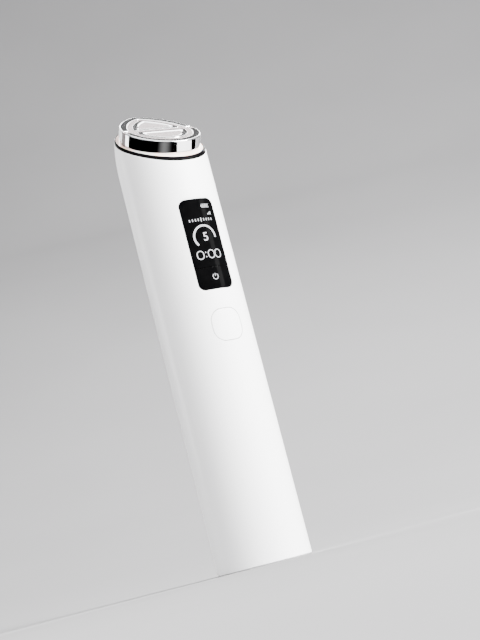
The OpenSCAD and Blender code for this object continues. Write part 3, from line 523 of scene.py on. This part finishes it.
bmesh.ops.recalc_face_normals(tube, faces=tube.faces)
blank = object_from("tube blank", tube)
half_mode = MODE_W / 2 + KEY_GAP
cutters = [
    cutter("window cutter", (-WIN_W / 2, WIN_BOTTOM), (WIN_W / 2, WIN_TOP), [WIN_CORNER] * 4),
    cutter("mode cutter", (-half_mode, MODE_Z - half_mode), (half_mode, MODE_Z + half_mode),
           [MODE_CORNER + KEY_GAP] * 4),
]
for tool in cutters:
    boolean = blank.modifiers.new(tool.name, "BOOLEAN")
    boolean.operation = "DIFFERENCE"
    boolean.solver = "EXACT"
    boolean.object = tool
cut_mesh = evaluated_mesh(blank)
tube = bmesh.new()
tube.from_mesh(cut_mesh)
for helper in [blank] + cutters:
    bpy.data.objects.remove(helper)
opening_edges = [edge for edge in tube.edges
                 if len(edge.link_faces) == 2 and edge.calc_face_angle(0) > 0.7
                 and all(OPEN_LOW < v.co.z < OPEN_HIGH and radius_of(v) > tube_r(v.co.z) - 0.02
                         for v in edge.verts)]
round_edges(tube, opening_edges, EASE, 2)
finish_piece("tube", tube, lacquer, stands_for=["body_shell"])
print("opening edges eased:", len(opening_edges))

# %% [markdown]
# ## The window, the power key and the mode key
# The window's lens and the power key share one outline, split by a hairline. The
# mode key is a rounded square of the tube's own white. Each is a sheet with a
# rounded front edge, laid round the tube so that it sits flush.

# %% The lens and the two keys
LENS_GAP = 0.05
LENS_T = 1.0
LENS_ROUND = 0.04
KEY_T = 2.2
KEY_ROUND = 0.35
POWER_ROUND = 0.06
SPLIT_CORNER = 0.15


def laid_plate(name, low, high, corners, thickness, edge_round, material, node,
               body="housing"):
    bm = bmesh.new()
    sheet_face(bm, low, high, corners)
    slice_sheet(bm, high[0])
    give_body(bm, (0, thickness, 0))
    round_edges(bm, rim_of(bm, Y, 0), edge_round, 3)
    lay_round_tube(bm)
    return finish_piece(name, bm, material, body, [node])


HALF_LENS = WIN_W / 2 - LENS_GAP
laid_plate("lens", (-HALF_LENS, LENS_BOTTOM), (HALF_LENS, WIN_TOP - LENS_GAP),
           [SPLIT_CORNER] * 2 + [WIN_CORNER] * 2, LENS_T, LENS_ROUND,
           window_black, "display_window")
HALF_POWER = WIN_W / 2 - KEY_GAP
laid_plate("power_key_cap", (-HALF_POWER, WIN_BOTTOM + KEY_GAP), (HALF_POWER, LENS_BOTTOM - KEY_GAP),
           [WIN_CORNER - KEY_GAP] * 2 + [SPLIT_CORNER] * 2, KEY_T, POWER_ROUND,
           window_black, "power_button", "power_key")
laid_plate("mode_key_cap", (-MODE_W / 2, MODE_Z - MODE_W / 2), (MODE_W / 2, MODE_Z + MODE_W / 2),
           [MODE_CORNER] * 4, KEY_T, KEY_ROUND, key_lacquer, "mode_button", "mode_key")

# %% [markdown]
# ## The lit marks
# Light from the display leaves the lens as flat white marks: a battery, a row of
# ticks, a gauge arc with its level and a clock. Bars are sheets, arcs are spun from
# a short edge, and the digits come from Blender's own font, made into a mesh before
# they get their place. All marks are sliced and laid round the tube like the lens.

# %% Shapes for the marks
MARK_T = 0.15
MARK_LIFT = 0.012


def bar(bm, x, z, width, height, corner=0.0):
    sheet_face(bm, (x - width / 2, z - height / 2), (x + width / 2, z + height / 2), [corner] * 4, 3)


def arc(bm, x, z, radius, stroke, start, stop, steps=48):
    """A flat arc: a short edge, turned about the arc's centre."""
    ends = [bm.verts.new((x + r * math.cos(start), 0, z + r * math.sin(start)))
            for r in (radius - stroke, radius)]
    edge = bm.edges.new(ends)
    bmesh.ops.spin(bm, geom=ends + [edge], cent=(x, 0, z), axis=(0, -1, 0),
                   angle=stop - start, steps=steps)
    bmesh.ops.remove_doubles(bm, verts=bm.verts, dist=1e-5)


def outline_box(bm, x, z, width, height, stroke):
    for side in (-1, 1):
        bar(bm, x + side * (width - stroke) / 2, z, stroke, height)
        bar(bm, x, z + side * (height - stroke) / 2, width - 2 * stroke, stroke)


def zero(bm, x, z, width, height, stroke):
    """A zero: two half rings with straight sides between them."""
    middle = (height - width) / 2
    for side, start in ((1, 0), (-1, math.pi)):
        arc(bm, x, z + side * middle, width / 2, stroke, start, start + math.pi, 24)
        bar(bm, x + side * (width - stroke) / 2, z, stroke, 2 * middle)


def digit(bm, text, x, z, height, weight):
    """A digit of Blender's own font, scaled to a height and centred on a point."""
    curve = bpy.data.curves.new(text, "FONT")
    curve.body = text
    curve.resolution_u = 6
    curve.offset = weight
    writer = bpy.data.objects.new(text, curve)
    collection.objects.link(writer)
    mesh = evaluated_mesh(writer)
    bpy.data.objects.remove(writer)
    glyph = bmesh.new()
    glyph.from_mesh(mesh)
    bmesh.ops.remove_doubles(glyph, verts=glyph.verts, dist=1e-5)
    low = Vector([min(v.co[i] for v in glyph.verts) for i in range(3)])
    high = Vector([max(v.co[i] for v in glyph.verts) for i in range(3)])
    size = height / (high.y - low.y)
    place = (Matrix.Translation((x, 0, z)) @ TO_FRONT @ Matrix.Scale(size, 4)
             @ Matrix.Translation(-(low + high) / 2))
    bmesh.ops.transform(glyph, matrix=place, verts=glyph.verts)
    glyph.to_mesh(mesh)
    glyph.free()
    bm.from_mesh(mesh)


# %% Draw the marks of the display
screen = bmesh.new()
BATTERY_X, BATTERY_Z = 3.04, 127.4
outline_box(screen, BATTERY_X, BATTERY_Z, 3.0, 1.3, 0.1)
for i in (-1, 0, 1):
    bar(screen, BATTERY_X + 0.81 * i, BATTERY_Z, 0.5, 0.8)
bar(screen, BATTERY_X - 1.62, BATTERY_Z, 0.24, 0.65)

LEVEL_X, LEVEL_Z = 3.5, 124.3
for i in range(3):
    bar(screen, LEVEL_X + 0.57 * i, LEVEL_Z + 0.18 * i, 0.32, 0.42 + 0.36 * i)

TICKS_Z, TICK_PITCH = 122.4, 1.1
for i in range(-4, 5):
    bar(screen, TICK_PITCH * i, TICKS_Z, 0.34, 1.5 if i == 0 else 0.9)

GAUGE_Z, GAUGE_R, GAUGE_STROKE = 116.0, 4.55, 0.68
arc(screen, 0, GAUGE_Z, GAUGE_R, GAUGE_STROKE, math.radians(-5), math.radians(220))
digit(screen, "5", 0.1, GAUGE_Z + 0.1, 3.1, 0.004)

CLOCK_Z, ZERO_W, ZERO_H, ZERO_STROKE = 109.6, 2.65, 3.25, 0.3
for x in (-3.56, 0.62, 3.4):
    zero(screen, x, CLOCK_Z, ZERO_W, ZERO_H, ZERO_STROKE)
for side in (-1, 1):
    bar(screen, -1.48, CLOCK_Z + 0.8 * side, 0.4, 0.4, 0.15)


def lit_piece(name, bm, half_width, body, node):
    """Slices flat marks, gives them their thickness and lays them round the tube."""
    slice_sheet(bm, half_width)
    give_body(bm, (0, MARK_T, 0))
    lay_round_tube(bm, MARK_LIFT)
    finish_piece(name, bm, marks["material"], body, [node])


lit_piece("screen_marks", screen, 6.2, "housing", "display_icons")

power = bmesh.new()
POWER_Z, POWER_R, POWER_STROKE = 101.35, 1.12, 0.22
arc(power, 0, POWER_Z, POWER_R, POWER_STROKE, math.radians(125), math.radians(415))
bar(power, 0, POWER_Z + 0.68, POWER_STROKE, 1.0, 0.04)
lit_piece("power_mark", power, 1.6, "power_key", "power_icon")

# %% [markdown]
# ## The rings under the head
# A black seam ring and the light guide above it follow the mouth's outline. Each is
# drawn as loops: a circle that is moved onto its slanted plane and onto the drawn-in
# outline. Neighbouring loops are bridged, the last one back to the first, which
# closes the section. Loops that would lie level get slightly different heights, because
# two loops in one plane can be bridged across the whole disc. The light guide is nearly
# flat, and the chrome above mirrors it.

# %% Seam ring and light ring
def outline_loop(bm, r, h):
    """A closed outline with upright sides of radius r, in the slanted plane at a height h."""
    ring = bmesh.ops.create_circle(bm, cap_ends=False, radius=r, segments=TURNS)["verts"]
    for vert in ring:
        across, back = vert.co.x / r, vert.co.y / r
        reach = reach_in_plane(r, across, back, h)
        vert.co = (reach * across, reach * back / math.cos(TILT) + h * math.tan(TILT), h)
    return list({edge for vert in ring for edge in vert.link_edges})


def ring_from(name, section, rounded, material, node):
    """Bridges the loops of a section; rounded gives the loops whose edge is eased, with the amount."""
    bm = bmesh.new()
    loops = [outline_loop(bm, r, h) for r, h in section]
    for i in range(len(loops)):
        bmesh.ops.bridge_loops(bm, edges=loops[i - 1] + loops[i])
    for i, amount in rounded:
        round_edges(bm, loops[i], amount, 4)
    return finish_piece(name, bm, material, stands_for=[node], on_head=True)


SEAM_IN = 15.95
SEAM_OUT = 16.53
SEAM_MID = 16.2
SEAM_SHOULDER = 0.12
SEAM_TOP = 0.66
SEAM_ROUND = 0.05
GUIDE_IN = 9
GUIDE_MID = 14.75
GUIDE_OUT = SEAM_IN - 0.02
GUIDE_TOP = 0.58
GUIDE_ROUND = 0.04
ring_from("black_seam",
          [(SEAM_IN, MOUTH_H + 0.03), (SEAM_OUT, MOUTH_H), (SEAM_OUT, SEAM_SHOULDER),
           (SEAM_MID, SEAM_TOP), (SEAM_IN, SEAM_TOP - 0.03)],
          [(2, SEAM_ROUND), (3, SEAM_ROUND)], seam_black, "seam_ring")
ring_from("light_guide",
          [(GUIDE_IN, MOUTH_H + 0.1), (GUIDE_OUT, MOUTH_H), (GUIDE_OUT, GUIDE_TOP),
           (GUIDE_MID, GUIDE_TOP + 0.02), (GUIDE_IN, GUIDE_TOP + 0.06)],
          [(2, GUIDE_ROUND), (3, GUIDE_ROUND)], guide["material"], "light_ring")

# %% [markdown]
# ## The drop-shaped head
# Seen square on, the head is a drop: a round front, two long flat curves and a
# small round tip. A point that is turned about three centres in a row draws one
# half of it, and a mirror adds the other. The same three turns with smaller radii
# give every inner outline, point for point, so outlines can be bridged.

# %% Outline of the drop
TIP_R = 3.85
TIP_MIN = 1.2


def tip_of(inset):
    """Centre, radius and start angle of the tip's arc for an inset."""
    radius = max(TIP_R - inset, TIP_MIN)
    reach = DROP_R + BULGE - inset - radius
    y = SIDE.y + math.sqrt(reach * reach - SIDE.x * SIDE.x)
    return Vector((0, y, 0)), radius, math.atan2(y - SIDE.y, -SIDE.x)


def drop_outline(bm, inset, h):
    """Draws the closed outline at a height and returns its edges."""
    tip, _, tip_turn = tip_of(inset)
    before = set(bm.edges)
    point = [bm.verts.new((0, DROP_Y - DROP_R + inset, h))]
    for centre, angle, steps in ((Vector((0, DROP_Y, 0)), math.pi / 2 + TURN, 44),
                                 (SIDE, tip_turn - TURN, 44), (tip, math.pi / 2 - tip_turn, 14)):
        made = bmesh.ops.spin(bm, geom=point, cent=centre + Vector((0, 0, h)), axis=(0, 0, 1),
                              angle=angle, steps=steps)
        point = only(bmesh.types.BMVert, made["geom_last"])
    half = [edge for edge in bm.edges if edge not in before]
    verts = list({v for edge in half for v in edge.verts})
    bmesh.ops.mirror(bm, geom=verts + half, matrix=Matrix.Identity(4), merge_dist=1e-3, axis="X")
    return [edge for edge in bm.edges if edge not in before]


def cut_at(bm, y, side):
    """Keeps what lies in front of (side -1) or behind (side 1) a plane."""
    bmesh.ops.bisect_plane(bm, geom=all_of(bm), dist=1e-5, plane_co=(0, y, 0),
                           plane_no=(0, -side, 0), clear_outer=True)


def keep_side(bm, y, side):
    """Cuts a solid at a plane and closes the cut."""
    cut_at(bm, y, side)
    rim = [edge for edge in bm.edges if edge.is_boundary]
    if rim:
        bmesh.ops.holes_fill(bm, edges=rim, sides=0)


# %% [markdown]
# The outer electrodes are two bands of the drop with a narrow split at each side.
# They are rounded where a finger feels them: at the corners by the split and all
# along the top. The top edge is a row of small insets that climb a quarter circle,
# which gives the bright line that runs round the real head.

# %% Outer electrodes
HEAD_H = 5.65
BAND_FOOT = 0.61
RING_W = 3.0
RING_GAP = 1.75
BAR_LOW = -1.475
BAR_HIGH = 0.675
SEAT = 0.02
BAND_ROUND = 0.5
BAND_CORNERS = (0.9, 0.9, 0.75, 0.75)


def cut_sheet(bm, y, side):
    """Cuts a flat sheet at a plane, makes it one face and returns the new corners."""
    cut_at(bm, y, side)
    bmesh.ops.dissolve_faces(bm, faces=bm.faces[:], use_verts=False)
    cut = [v for v in bm.verts if abs(v.co.y - y) < 1e-3]
    corners = [v for v in cut if v.calc_edge_angle() > 0.1]
    bmesh.ops.dissolve_verts(bm, verts=[v for v in cut if v not in corners])
    return corners


def round_corner(bm, corner, radius):
    """Rounds a corner of a flat outline; points closer than the radius make room first."""
    near = [v for v in bm.verts if v is not corner and (v.co - corner.co).length < radius * 1.15]
    bmesh.ops.dissolve_verts(bm, verts=near)
    bmesh.ops.bevel(bm, geom=[corner], offset=radius, offset_type="OFFSET", affect="VERTICES",
                    segments=7, profile=0.5, material=-1, clamp_overlap=False)


def climb(bm, h, radius, steps):
    """Rounds the edge of a raised outline's flat top with insets that climb a quarter circle to h."""
    top = [face for face in bm.faces if face.normal.z > 0.9]
    for i in range(steps):
        a, b = (math.pi / 2 * (i + k) / steps for k in (0, 1))
        bmesh.ops.inset_region(bm, faces=top, thickness=radius * (math.cos(a) - math.cos(b)),
                               depth=radius * (math.sin(b) - math.sin(a)),
                               use_even_offset=True, use_boundary=True)
    for face in top:
        for vert in face.verts:
            vert.co.z = h
    return top


def outer_electrode(name, y, side, node):
    bm = bmesh.new()
    edges = drop_outline(bm, 0, BAND_FOOT) + drop_outline(bm, RING_W, BAND_FOOT)
    bmesh.ops.bridge_loops(bm, edges=edges)
    corners = sorted(cut_sheet(bm, y + side * SEAT, side), key=lambda v: abs(v.co.x))
    for corner, radius in zip(corners, BAND_CORNERS):
        round_corner(bm, corner, radius)
    give_body(bm, (0, 0, HEAD_H - BAND_FOOT - BAND_ROUND))
    climb(bm, HEAD_H, BAND_ROUND, 5)
    return finish_piece(name, bm, chrome, stands_for=[node], on_head=True)


outer_electrode("front_outer_electrode", BAR_LOW, -1, "electrode_ring_front")
outer_electrode("back_outer_electrode", BAR_HIGH, 1, "electrode_ring_back")

# %% [markdown]
# The inner electrodes are D-shaped plates with a shallow hollow. The hollow follows
# the plate's own outline, so its depth at a point comes from how far that point
# lies from the edge. The top is first sliced both ways to give the hollow points to
# move.

# %% Inner electrodes
PAD_INSET = RING_W + RING_GAP
PAD_FOOT = 4.6
PAD_CORNER = 1.1
RIM_W = 1.0
SLOPE_W = 2.1
HOLLOW = 0.36
DISH_SLOPE = 0.085
SOFTEN = 0.35
GRID = 0.28
CUTS_ACROSS, CUTS_BACK = 38, 58
PAD_ROUND = 0.14
PAD_SHARP = math.radians(14)


def depth_inside(x, y):
    """How far a point lies inside the plate's curved outline."""
    tip, tip_r, tip_turn = tip_of(PAD_INSET)
    x = abs(x)
    if math.atan2(y - DROP_Y, x) <= TURN:
        return DROP_R - PAD_INSET - math.hypot(x, y - DROP_Y)
    if math.atan2(y - tip.y, x) >= tip_turn and y > tip.y:
        return tip_r - math.hypot(x, y - tip.y)
    return DROP_R + BULGE - PAD_INSET - math.hypot(x - SIDE.x, y - SIDE.y)


def hollow_depth(x, y, bar_y, side):
    """A flat rim, a slope and a slightly dished floor, blended so that the creases stay soft."""
    gaps = (depth_inside(x, y), side * (y - bar_y))
    near = -SOFTEN * math.log(sum(math.exp(-gap / SOFTEN) for gap in gaps))
    return HOLLOW * ease((near - RIM_W) / SLOPE_W) + DISH_SLOPE * max(near - RIM_W - SLOPE_W / 2, 0)


def inner_electrode(name, y, side, node):
    bm = bmesh.new()
    bmesh.ops.edgeloop_fill(bm, edges=drop_outline(bm, PAD_INSET, PAD_FOOT))
    for corner in cut_sheet(bm, y, side):
        round_corner(bm, corner, PAD_CORNER)
    give_body(bm, (0, 0, HEAD_H - PAD_FOOT - PAD_ROUND))
    climb(bm, HEAD_H, PAD_ROUND, 3)
    for axis, cuts in (((1, 0, 0), CUTS_ACROSS), ((0, 1, 0), CUTS_BACK)):
        for i in range(-cuts, cuts + 1):
            flat = [face for face in bm.faces if all(v.co.z > HEAD_H - FLAT for v in face.verts)]
            around = list({v for face in flat for v in face.verts})
            around += list({e for face in flat for e in face.edges})
            bmesh.ops.bisect_plane(bm, geom=around + flat, dist=1e-5,
                                   plane_co=Vector(axis) * (i + 0.5) * GRID, plane_no=axis)
    for vert in bm.verts:
        if vert.co.z > HEAD_H - FLAT:
            vert.co.z -= hollow_depth(vert.co.x, vert.co.y, y, side)
    return finish_piece(name, bm, pad_chrome, stands_for=[node],
                        on_head=True, sharp=PAD_SHARP)


inner_electrode("front_inner_electrode", BAR_LOW, -1, "electrode_pad_front")
inner_electrode("back_inner_electrode", BAR_HIGH, 1, "electrode_pad_back")

# %% [markdown]
# Between the metal lies a grey insulator. It shows as a band between outer
# and inner electrodes and as a bar that crosses the head and runs down both sides.
# The core is a smaller drop, and the bar is a slice of the full one.

# %% Insulator
PLASTIC_H = 5.45
CORE_INSET = RING_W - 0.6
CROSS_INSET = 0.02
CROSS_H = PLASTIC_H + 0.06
CROSS_ROUND = 0.1

insulation = bmesh.new()
bmesh.ops.edgeloop_fill(insulation, edges=drop_outline(insulation, CORE_INSET, BAND_FOOT))
give_body(insulation, (0, 0, PLASTIC_H - BAND_FOOT))
finish_piece("insulator_core", insulation, insulator["material"],
             stands_for=["head_base"], on_head=True)

cross_bar = bmesh.new()
bmesh.ops.edgeloop_fill(cross_bar, edges=drop_outline(cross_bar, CROSS_INSET, BAND_FOOT))
give_body(cross_bar, (0, 0, CROSS_H - BAND_FOOT))
keep_side(cross_bar, BAR_LOW, 1)
keep_side(cross_bar, BAR_HIGH, -1)
round_edges(cross_bar, rim_of(cross_bar, Z, CROSS_H), CROSS_ROUND, 3)
finish_piece("insulator_bar", cross_bar, insulator["material"], on_head=True)

# %% [markdown]
# ## What lies inside and below
# The other nodes keep their solids and only get a finish of their own. Each finish
# has the colour from the record and the grain that suits its class: moulding marks for
# frames, a fine mottle for boards, drawn lines for steel.

# %% Finishes for the nodes that stay
def plain_finish(slot, colour, roughness, metallic, scale, contrast, bump_mm, stretch=(1, 1, 1)):
    kit = new_material(slot.replace("_", " "), colour, roughness, metallic)
    dark = tuple(channel * (1 - contrast) for channel in colour)
    light = tuple(min(channel * (1 + contrast), 1) for channel in colour)
    colour_from(kit, noise(kit, scale, 3, stretch), dark, light)
    vary_roughness(kit, noise(kit, scale * 2, 3, stretch), roughness * 0.85, min(roughness * 1.2, 1))
    add_bump(kit, noise(kit, scale * 4, 2, stretch), bump_mm)
    return kit["material"]


FINISHES = {
    "gloss_plastic": (0.25, 0.0, 700, 0.06, 0.002, (1, 1, 1)),
    "matte_plastic": (0.55, 0.0, 1200, 0.08, 0.006, (1, 1, 1)),
    "rubber": (0.7, 0.0, 1500, 0.15, 0.01, (1, 1, 1)),
    "brushed_steel": (0.28, 1.0, 900, 0.06, 0.002, (1, 1, 8)),
    "cast_iron": (0.5, 0.9, 1500, 0.15, 0.01, (1, 1, 1)),
    "brass": (0.25, 1.0, 1200, 0.08, 0.002, (1, 1, 4)),
    "chrome": (0.06, 1.0, 600, 0.03, 0.001, (1, 1, 1)),
    "ceramic": (0.45, 0.0, 1800, 0.1, 0.004, (1, 1, 1)),
    "glass": (0.05, 0.0, 400, 0.1, 0.0005, (1, 1, 1)),
}
record = frame["record"]
looks = {item["slot"]: item for item in record["materials"]}
made_finishes = {"shell_white": lacquer, "cap_white": white_lacquer("cap lacquer", 0.82)}
for part in record["subparts"]:
    slot = part["material_slot"]
    if slot not in made_finishes:
        roughness, metallic, scale, contrast, bump_mm, stretch = FINISHES[looks[slot]["class"]]
        colour = tuple(looks[slot]["base_color"][:3])
        made_finishes[slot] = plain_finish(slot, colour, roughness, metallic, scale, contrast,
                                           bump_mm, stretch)
    nodes[part["node"]].material_slots[0].material = made_finishes[slot]
print(len(made_finishes), "finishes on", len(record["subparts"]), "nodes")

# %% [markdown]
# ## Studio
# The device stands on a pale floor that sweeps up behind it without a corner. The
# sweep is one section, drawn out sideways. White lacquer needs broad soft lamps,
# and mirror metal needs something dark to reflect, so dark flags lie outside the
# picture, as in a product studio: only reflections see them.

# %% Floor and sweep
SWEEP_HALF = 2.6
SWEEP_FRONT = -1.6
SWEEP_BACK = 0.12
SWEEP_R = 1.5
VIEW_TURN = math.radians(-29.7)

paper = new_material("backdrop paper", (0.17, 0.168, 0.17), 0.9)
colour_from(paper, noise(paper, 6, 3), (0.166, 0.164, 0.166), (0.174, 0.172, 0.174))
add_bump(paper, noise(paper, 500, 3), 0.05, 0.3)

sweep = bmesh.new()
line = [sweep.verts.new((-SWEEP_HALF, y, 0)) for y in (SWEEP_FRONT, SWEEP_BACK)]
sweep.edges.new(line)
bmesh.ops.spin(sweep, geom=[line[1]], cent=(-SWEEP_HALF, SWEEP_BACK, SWEEP_R), axis=(1, 0, 0),
               angle=math.pi / 2, steps=48)
drawn = bmesh.ops.extrude_edge_only(sweep, edges=sweep.edges[:])
bmesh.ops.translate(sweep, vec=(2 * SWEEP_HALF, 0, 0),
                    verts=only(bmesh.types.BMVert, drawn["geom"]))
bmesh.ops.transform(sweep, matrix=Matrix.Rotation(VIEW_TURN, 4, "Z"), verts=sweep.verts)
backdrop = object_from("sweep", sweep, paper["material"])
backdrop.data.shade_smooth()

# %% Lamps and flags
AIM = Vector((0, 0, 0.1))


def towards(place, target):
    return (target - place).to_track_quat("-Z", "Y")


def soft_lamp(name, place, width, height, watts, target=AIM):
    data = bpy.data.lights.new(name, "AREA")
    data.shape = "RECTANGLE"
    data.size = width
    data.size_y = height
    data.energy = watts
    lamp = bpy.data.objects.new(name, data)
    lamp.location = place
    lamp.rotation_mode = "QUATERNION"
    lamp.rotation_quaternion = towards(Vector(place), target)
    lamp.visible_camera = False
    collection.objects.link(lamp)
    return lamp


HEAD_AT = Vector((0, 0, 0.155))
LENS_AT = Vector((0, 0, 0.27))


def card(name, place, width, height, target, glow, faded=False):
    """A card that only mirror reflections see; without a target it lies on the floor."""
    tone = new_material(name, (0, 0, 0), 1.0)
    tone["shader"].inputs["Specular IOR Level"].default_value = 0
    lit = ramp(tone, noise(tone, 9, 2), (0.92,) * 3, (1,) * 3)
    tone["tree"].links.new(lit, tone["shader"].inputs["Emission Color"])
    tone["shader"].inputs["Emission Strength"].default_value = glow
    if faded:
        fade_sideways(tone, place[0], width, glow)
    bm = bmesh.new()
    place = Vector(place)
    turn = towards(place, target).to_matrix().to_4x4() if target else Matrix.Identity(4)
    lie = Matrix.Translation(place) @ turn @ Matrix.Diagonal((width, height, 1, 1))
    bmesh.ops.create_grid(bm, x_segments=1, y_segments=1, size=0.5, matrix=lie)
    made = object_from(name, bm, tone["material"])
    made.visible_camera = False
    made.visible_diffuse = False
    made.visible_shadow = False
    made.visible_transmission = False


def fade_sideways(kit, middle, width, glow):
    """Lets a card's glow fall to nothing towards its left and right ends."""
    tree = kit["tree"]
    axes = tree.nodes.new("ShaderNodeSeparateXYZ")
    tree.links.new(kit["place"].outputs["Object"], axes.inputs["Vector"])
    spread = tree.nodes.new("ShaderNodeMapRange")
    spread.interpolation_type = "SMOOTHSTEP"
    spread.inputs["From Min"].default_value = 0
    spread.inputs["From Max"].default_value = width / 2
    spread.inputs["To Min"].default_value = glow
    spread.inputs["To Max"].default_value = 0
    shift = tree.nodes.new("ShaderNodeMath")
    shift.operation = "SUBTRACT"
    shift.inputs[1].default_value = middle
    tree.links.new(axes.outputs["X"], shift.inputs[0])
    size = tree.nodes.new("ShaderNodeMath")
    size.operation = "ABSOLUTE"
    tree.links.new(shift.outputs["Value"], size.inputs[0])
    tree.links.new(size.outputs["Value"], spread.inputs["Value"])
    tree.links.new(spread.outputs["Result"], kit["shader"].inputs["Emission Strength"])


soft_lamp("key", (0.55, -0.90, 0.80), 0.9, 0.45, 175.0)
soft_lamp("front", (-0.35, -1.25, 0.75), 0.8, 0.4, 6.0)
side_lamp = soft_lamp("left", (-0.95, 0.42, 0.30), 0.12, 0.9, 14.0)
side_lamp.visible_glossy = False
soft_lamp("overhead", (0.42, 0.485, 0.78), 0.75, 0.6, 14.0, target=HEAD_AT)

FLOOR_H = 0.004
card("floor_dark", (-0.12, -0.515, FLOOR_H), 0.38, 0.97, None, 0.0)
card("floor_streak", (-0.06, -0.16, FLOOR_H + 0.002), 0.16, 0.25, None, 0.3, True)
card("floor_dark_left", (-0.62, -0.35, FLOOR_H - 0.001), 0.98, 1.5, None, 0.0)
card("wall_dark_left", (-0.91, 0.42, 0.14), 0.82, 0.5, HEAD_AT, 0.0)
card("floor_white", (0.215, -0.15, FLOOR_H), 0.29, 0.3, None, 6)
card("floor_dark_right", (0.63, -0.02, FLOOR_H), 0.54, 0.6, None, 0.05)
card("wall_dark_right", (0.4, 0.01, 0.035), 0.12, 0.1, HEAD_AT, 0.0)
card("left_end", (-0.08, 0.75, 0.43), 0.52, 0.3, HEAD_AT, 2.5)
card("wall_white_left", (-0.62, 0.80, 0.36), 0.35, 0.5, HEAD_AT, 6)
card("lens_dark", (0.55, -0.95, 0.27), 2.2, 0.46, LENS_AT, 0.01)
card("lens_streak", (0.72, -0.72, 0.27), 0.22, 0.4, LENS_AT, 4)
card("ceiling", (0.1, -0.48, 1.05), 2.0, 1.66, HEAD_AT, 4)
card("back_white", (0.56, 0.86, 0.62), 0.55, 0.42, HEAD_AT, 5)
card("top_grey", (0.275, 0.317, 0.565), 0.13, 0.13, HEAD_AT, 0.2)

world = bpy.data.worlds.new("studio")
world.use_nodes = True
world.node_tree.nodes["Background"].inputs["Color"].default_value = (0.95, 0.96, 1.0, 1)
world.node_tree.nodes["Background"].inputs["Strength"].default_value = 0.55
bpy.context.scene.world = world

# %% [markdown]
# ## Camera
# The camera looks at the device from its left front, at the height of its base, and
# is rolled so that the tube leans across the frame as in the photograph. Its place
# and lens come from a fit of the device's outline.

# %% Camera
CAMERA_AT = Vector((-0.26338, -0.46102, 0.004))
CAMERA_TO = Vector((0.01507, -0.00028, 0.08749))
ROLL = -0.25475
FOCAL_PX = 1495.3
FRAME_H_PX = 640

camera_data = bpy.data.cameras.new("camera")
camera_data.sensor_fit = "AUTO"
camera_data.sensor_width = 36
camera_data.lens = FOCAL_PX / FRAME_H_PX * camera_data.sensor_width
camera_data.clip_start = 0.01
camera_data.dof.use_dof = False
camera = bpy.data.objects.new("camera", camera_data)
ahead = (CAMERA_TO - CAMERA_AT).normalized()
right = ahead.cross(Vector((0, 0, 1))).normalized()
upward = right.cross(ahead)
leaned_right = math.cos(ROLL) * right + math.sin(ROLL) * upward
leaned_up = math.cos(ROLL) * upward - math.sin(ROLL) * right
turn = Matrix((leaned_right, leaned_up, -ahead)).transposed().to_4x4()
camera.matrix_world = Matrix.Translation(CAMERA_AT) @ turn
collection.objects.link(camera)
bpy.context.scene.camera = camera
print("lens", round(camera_data.lens, 1), "mm")
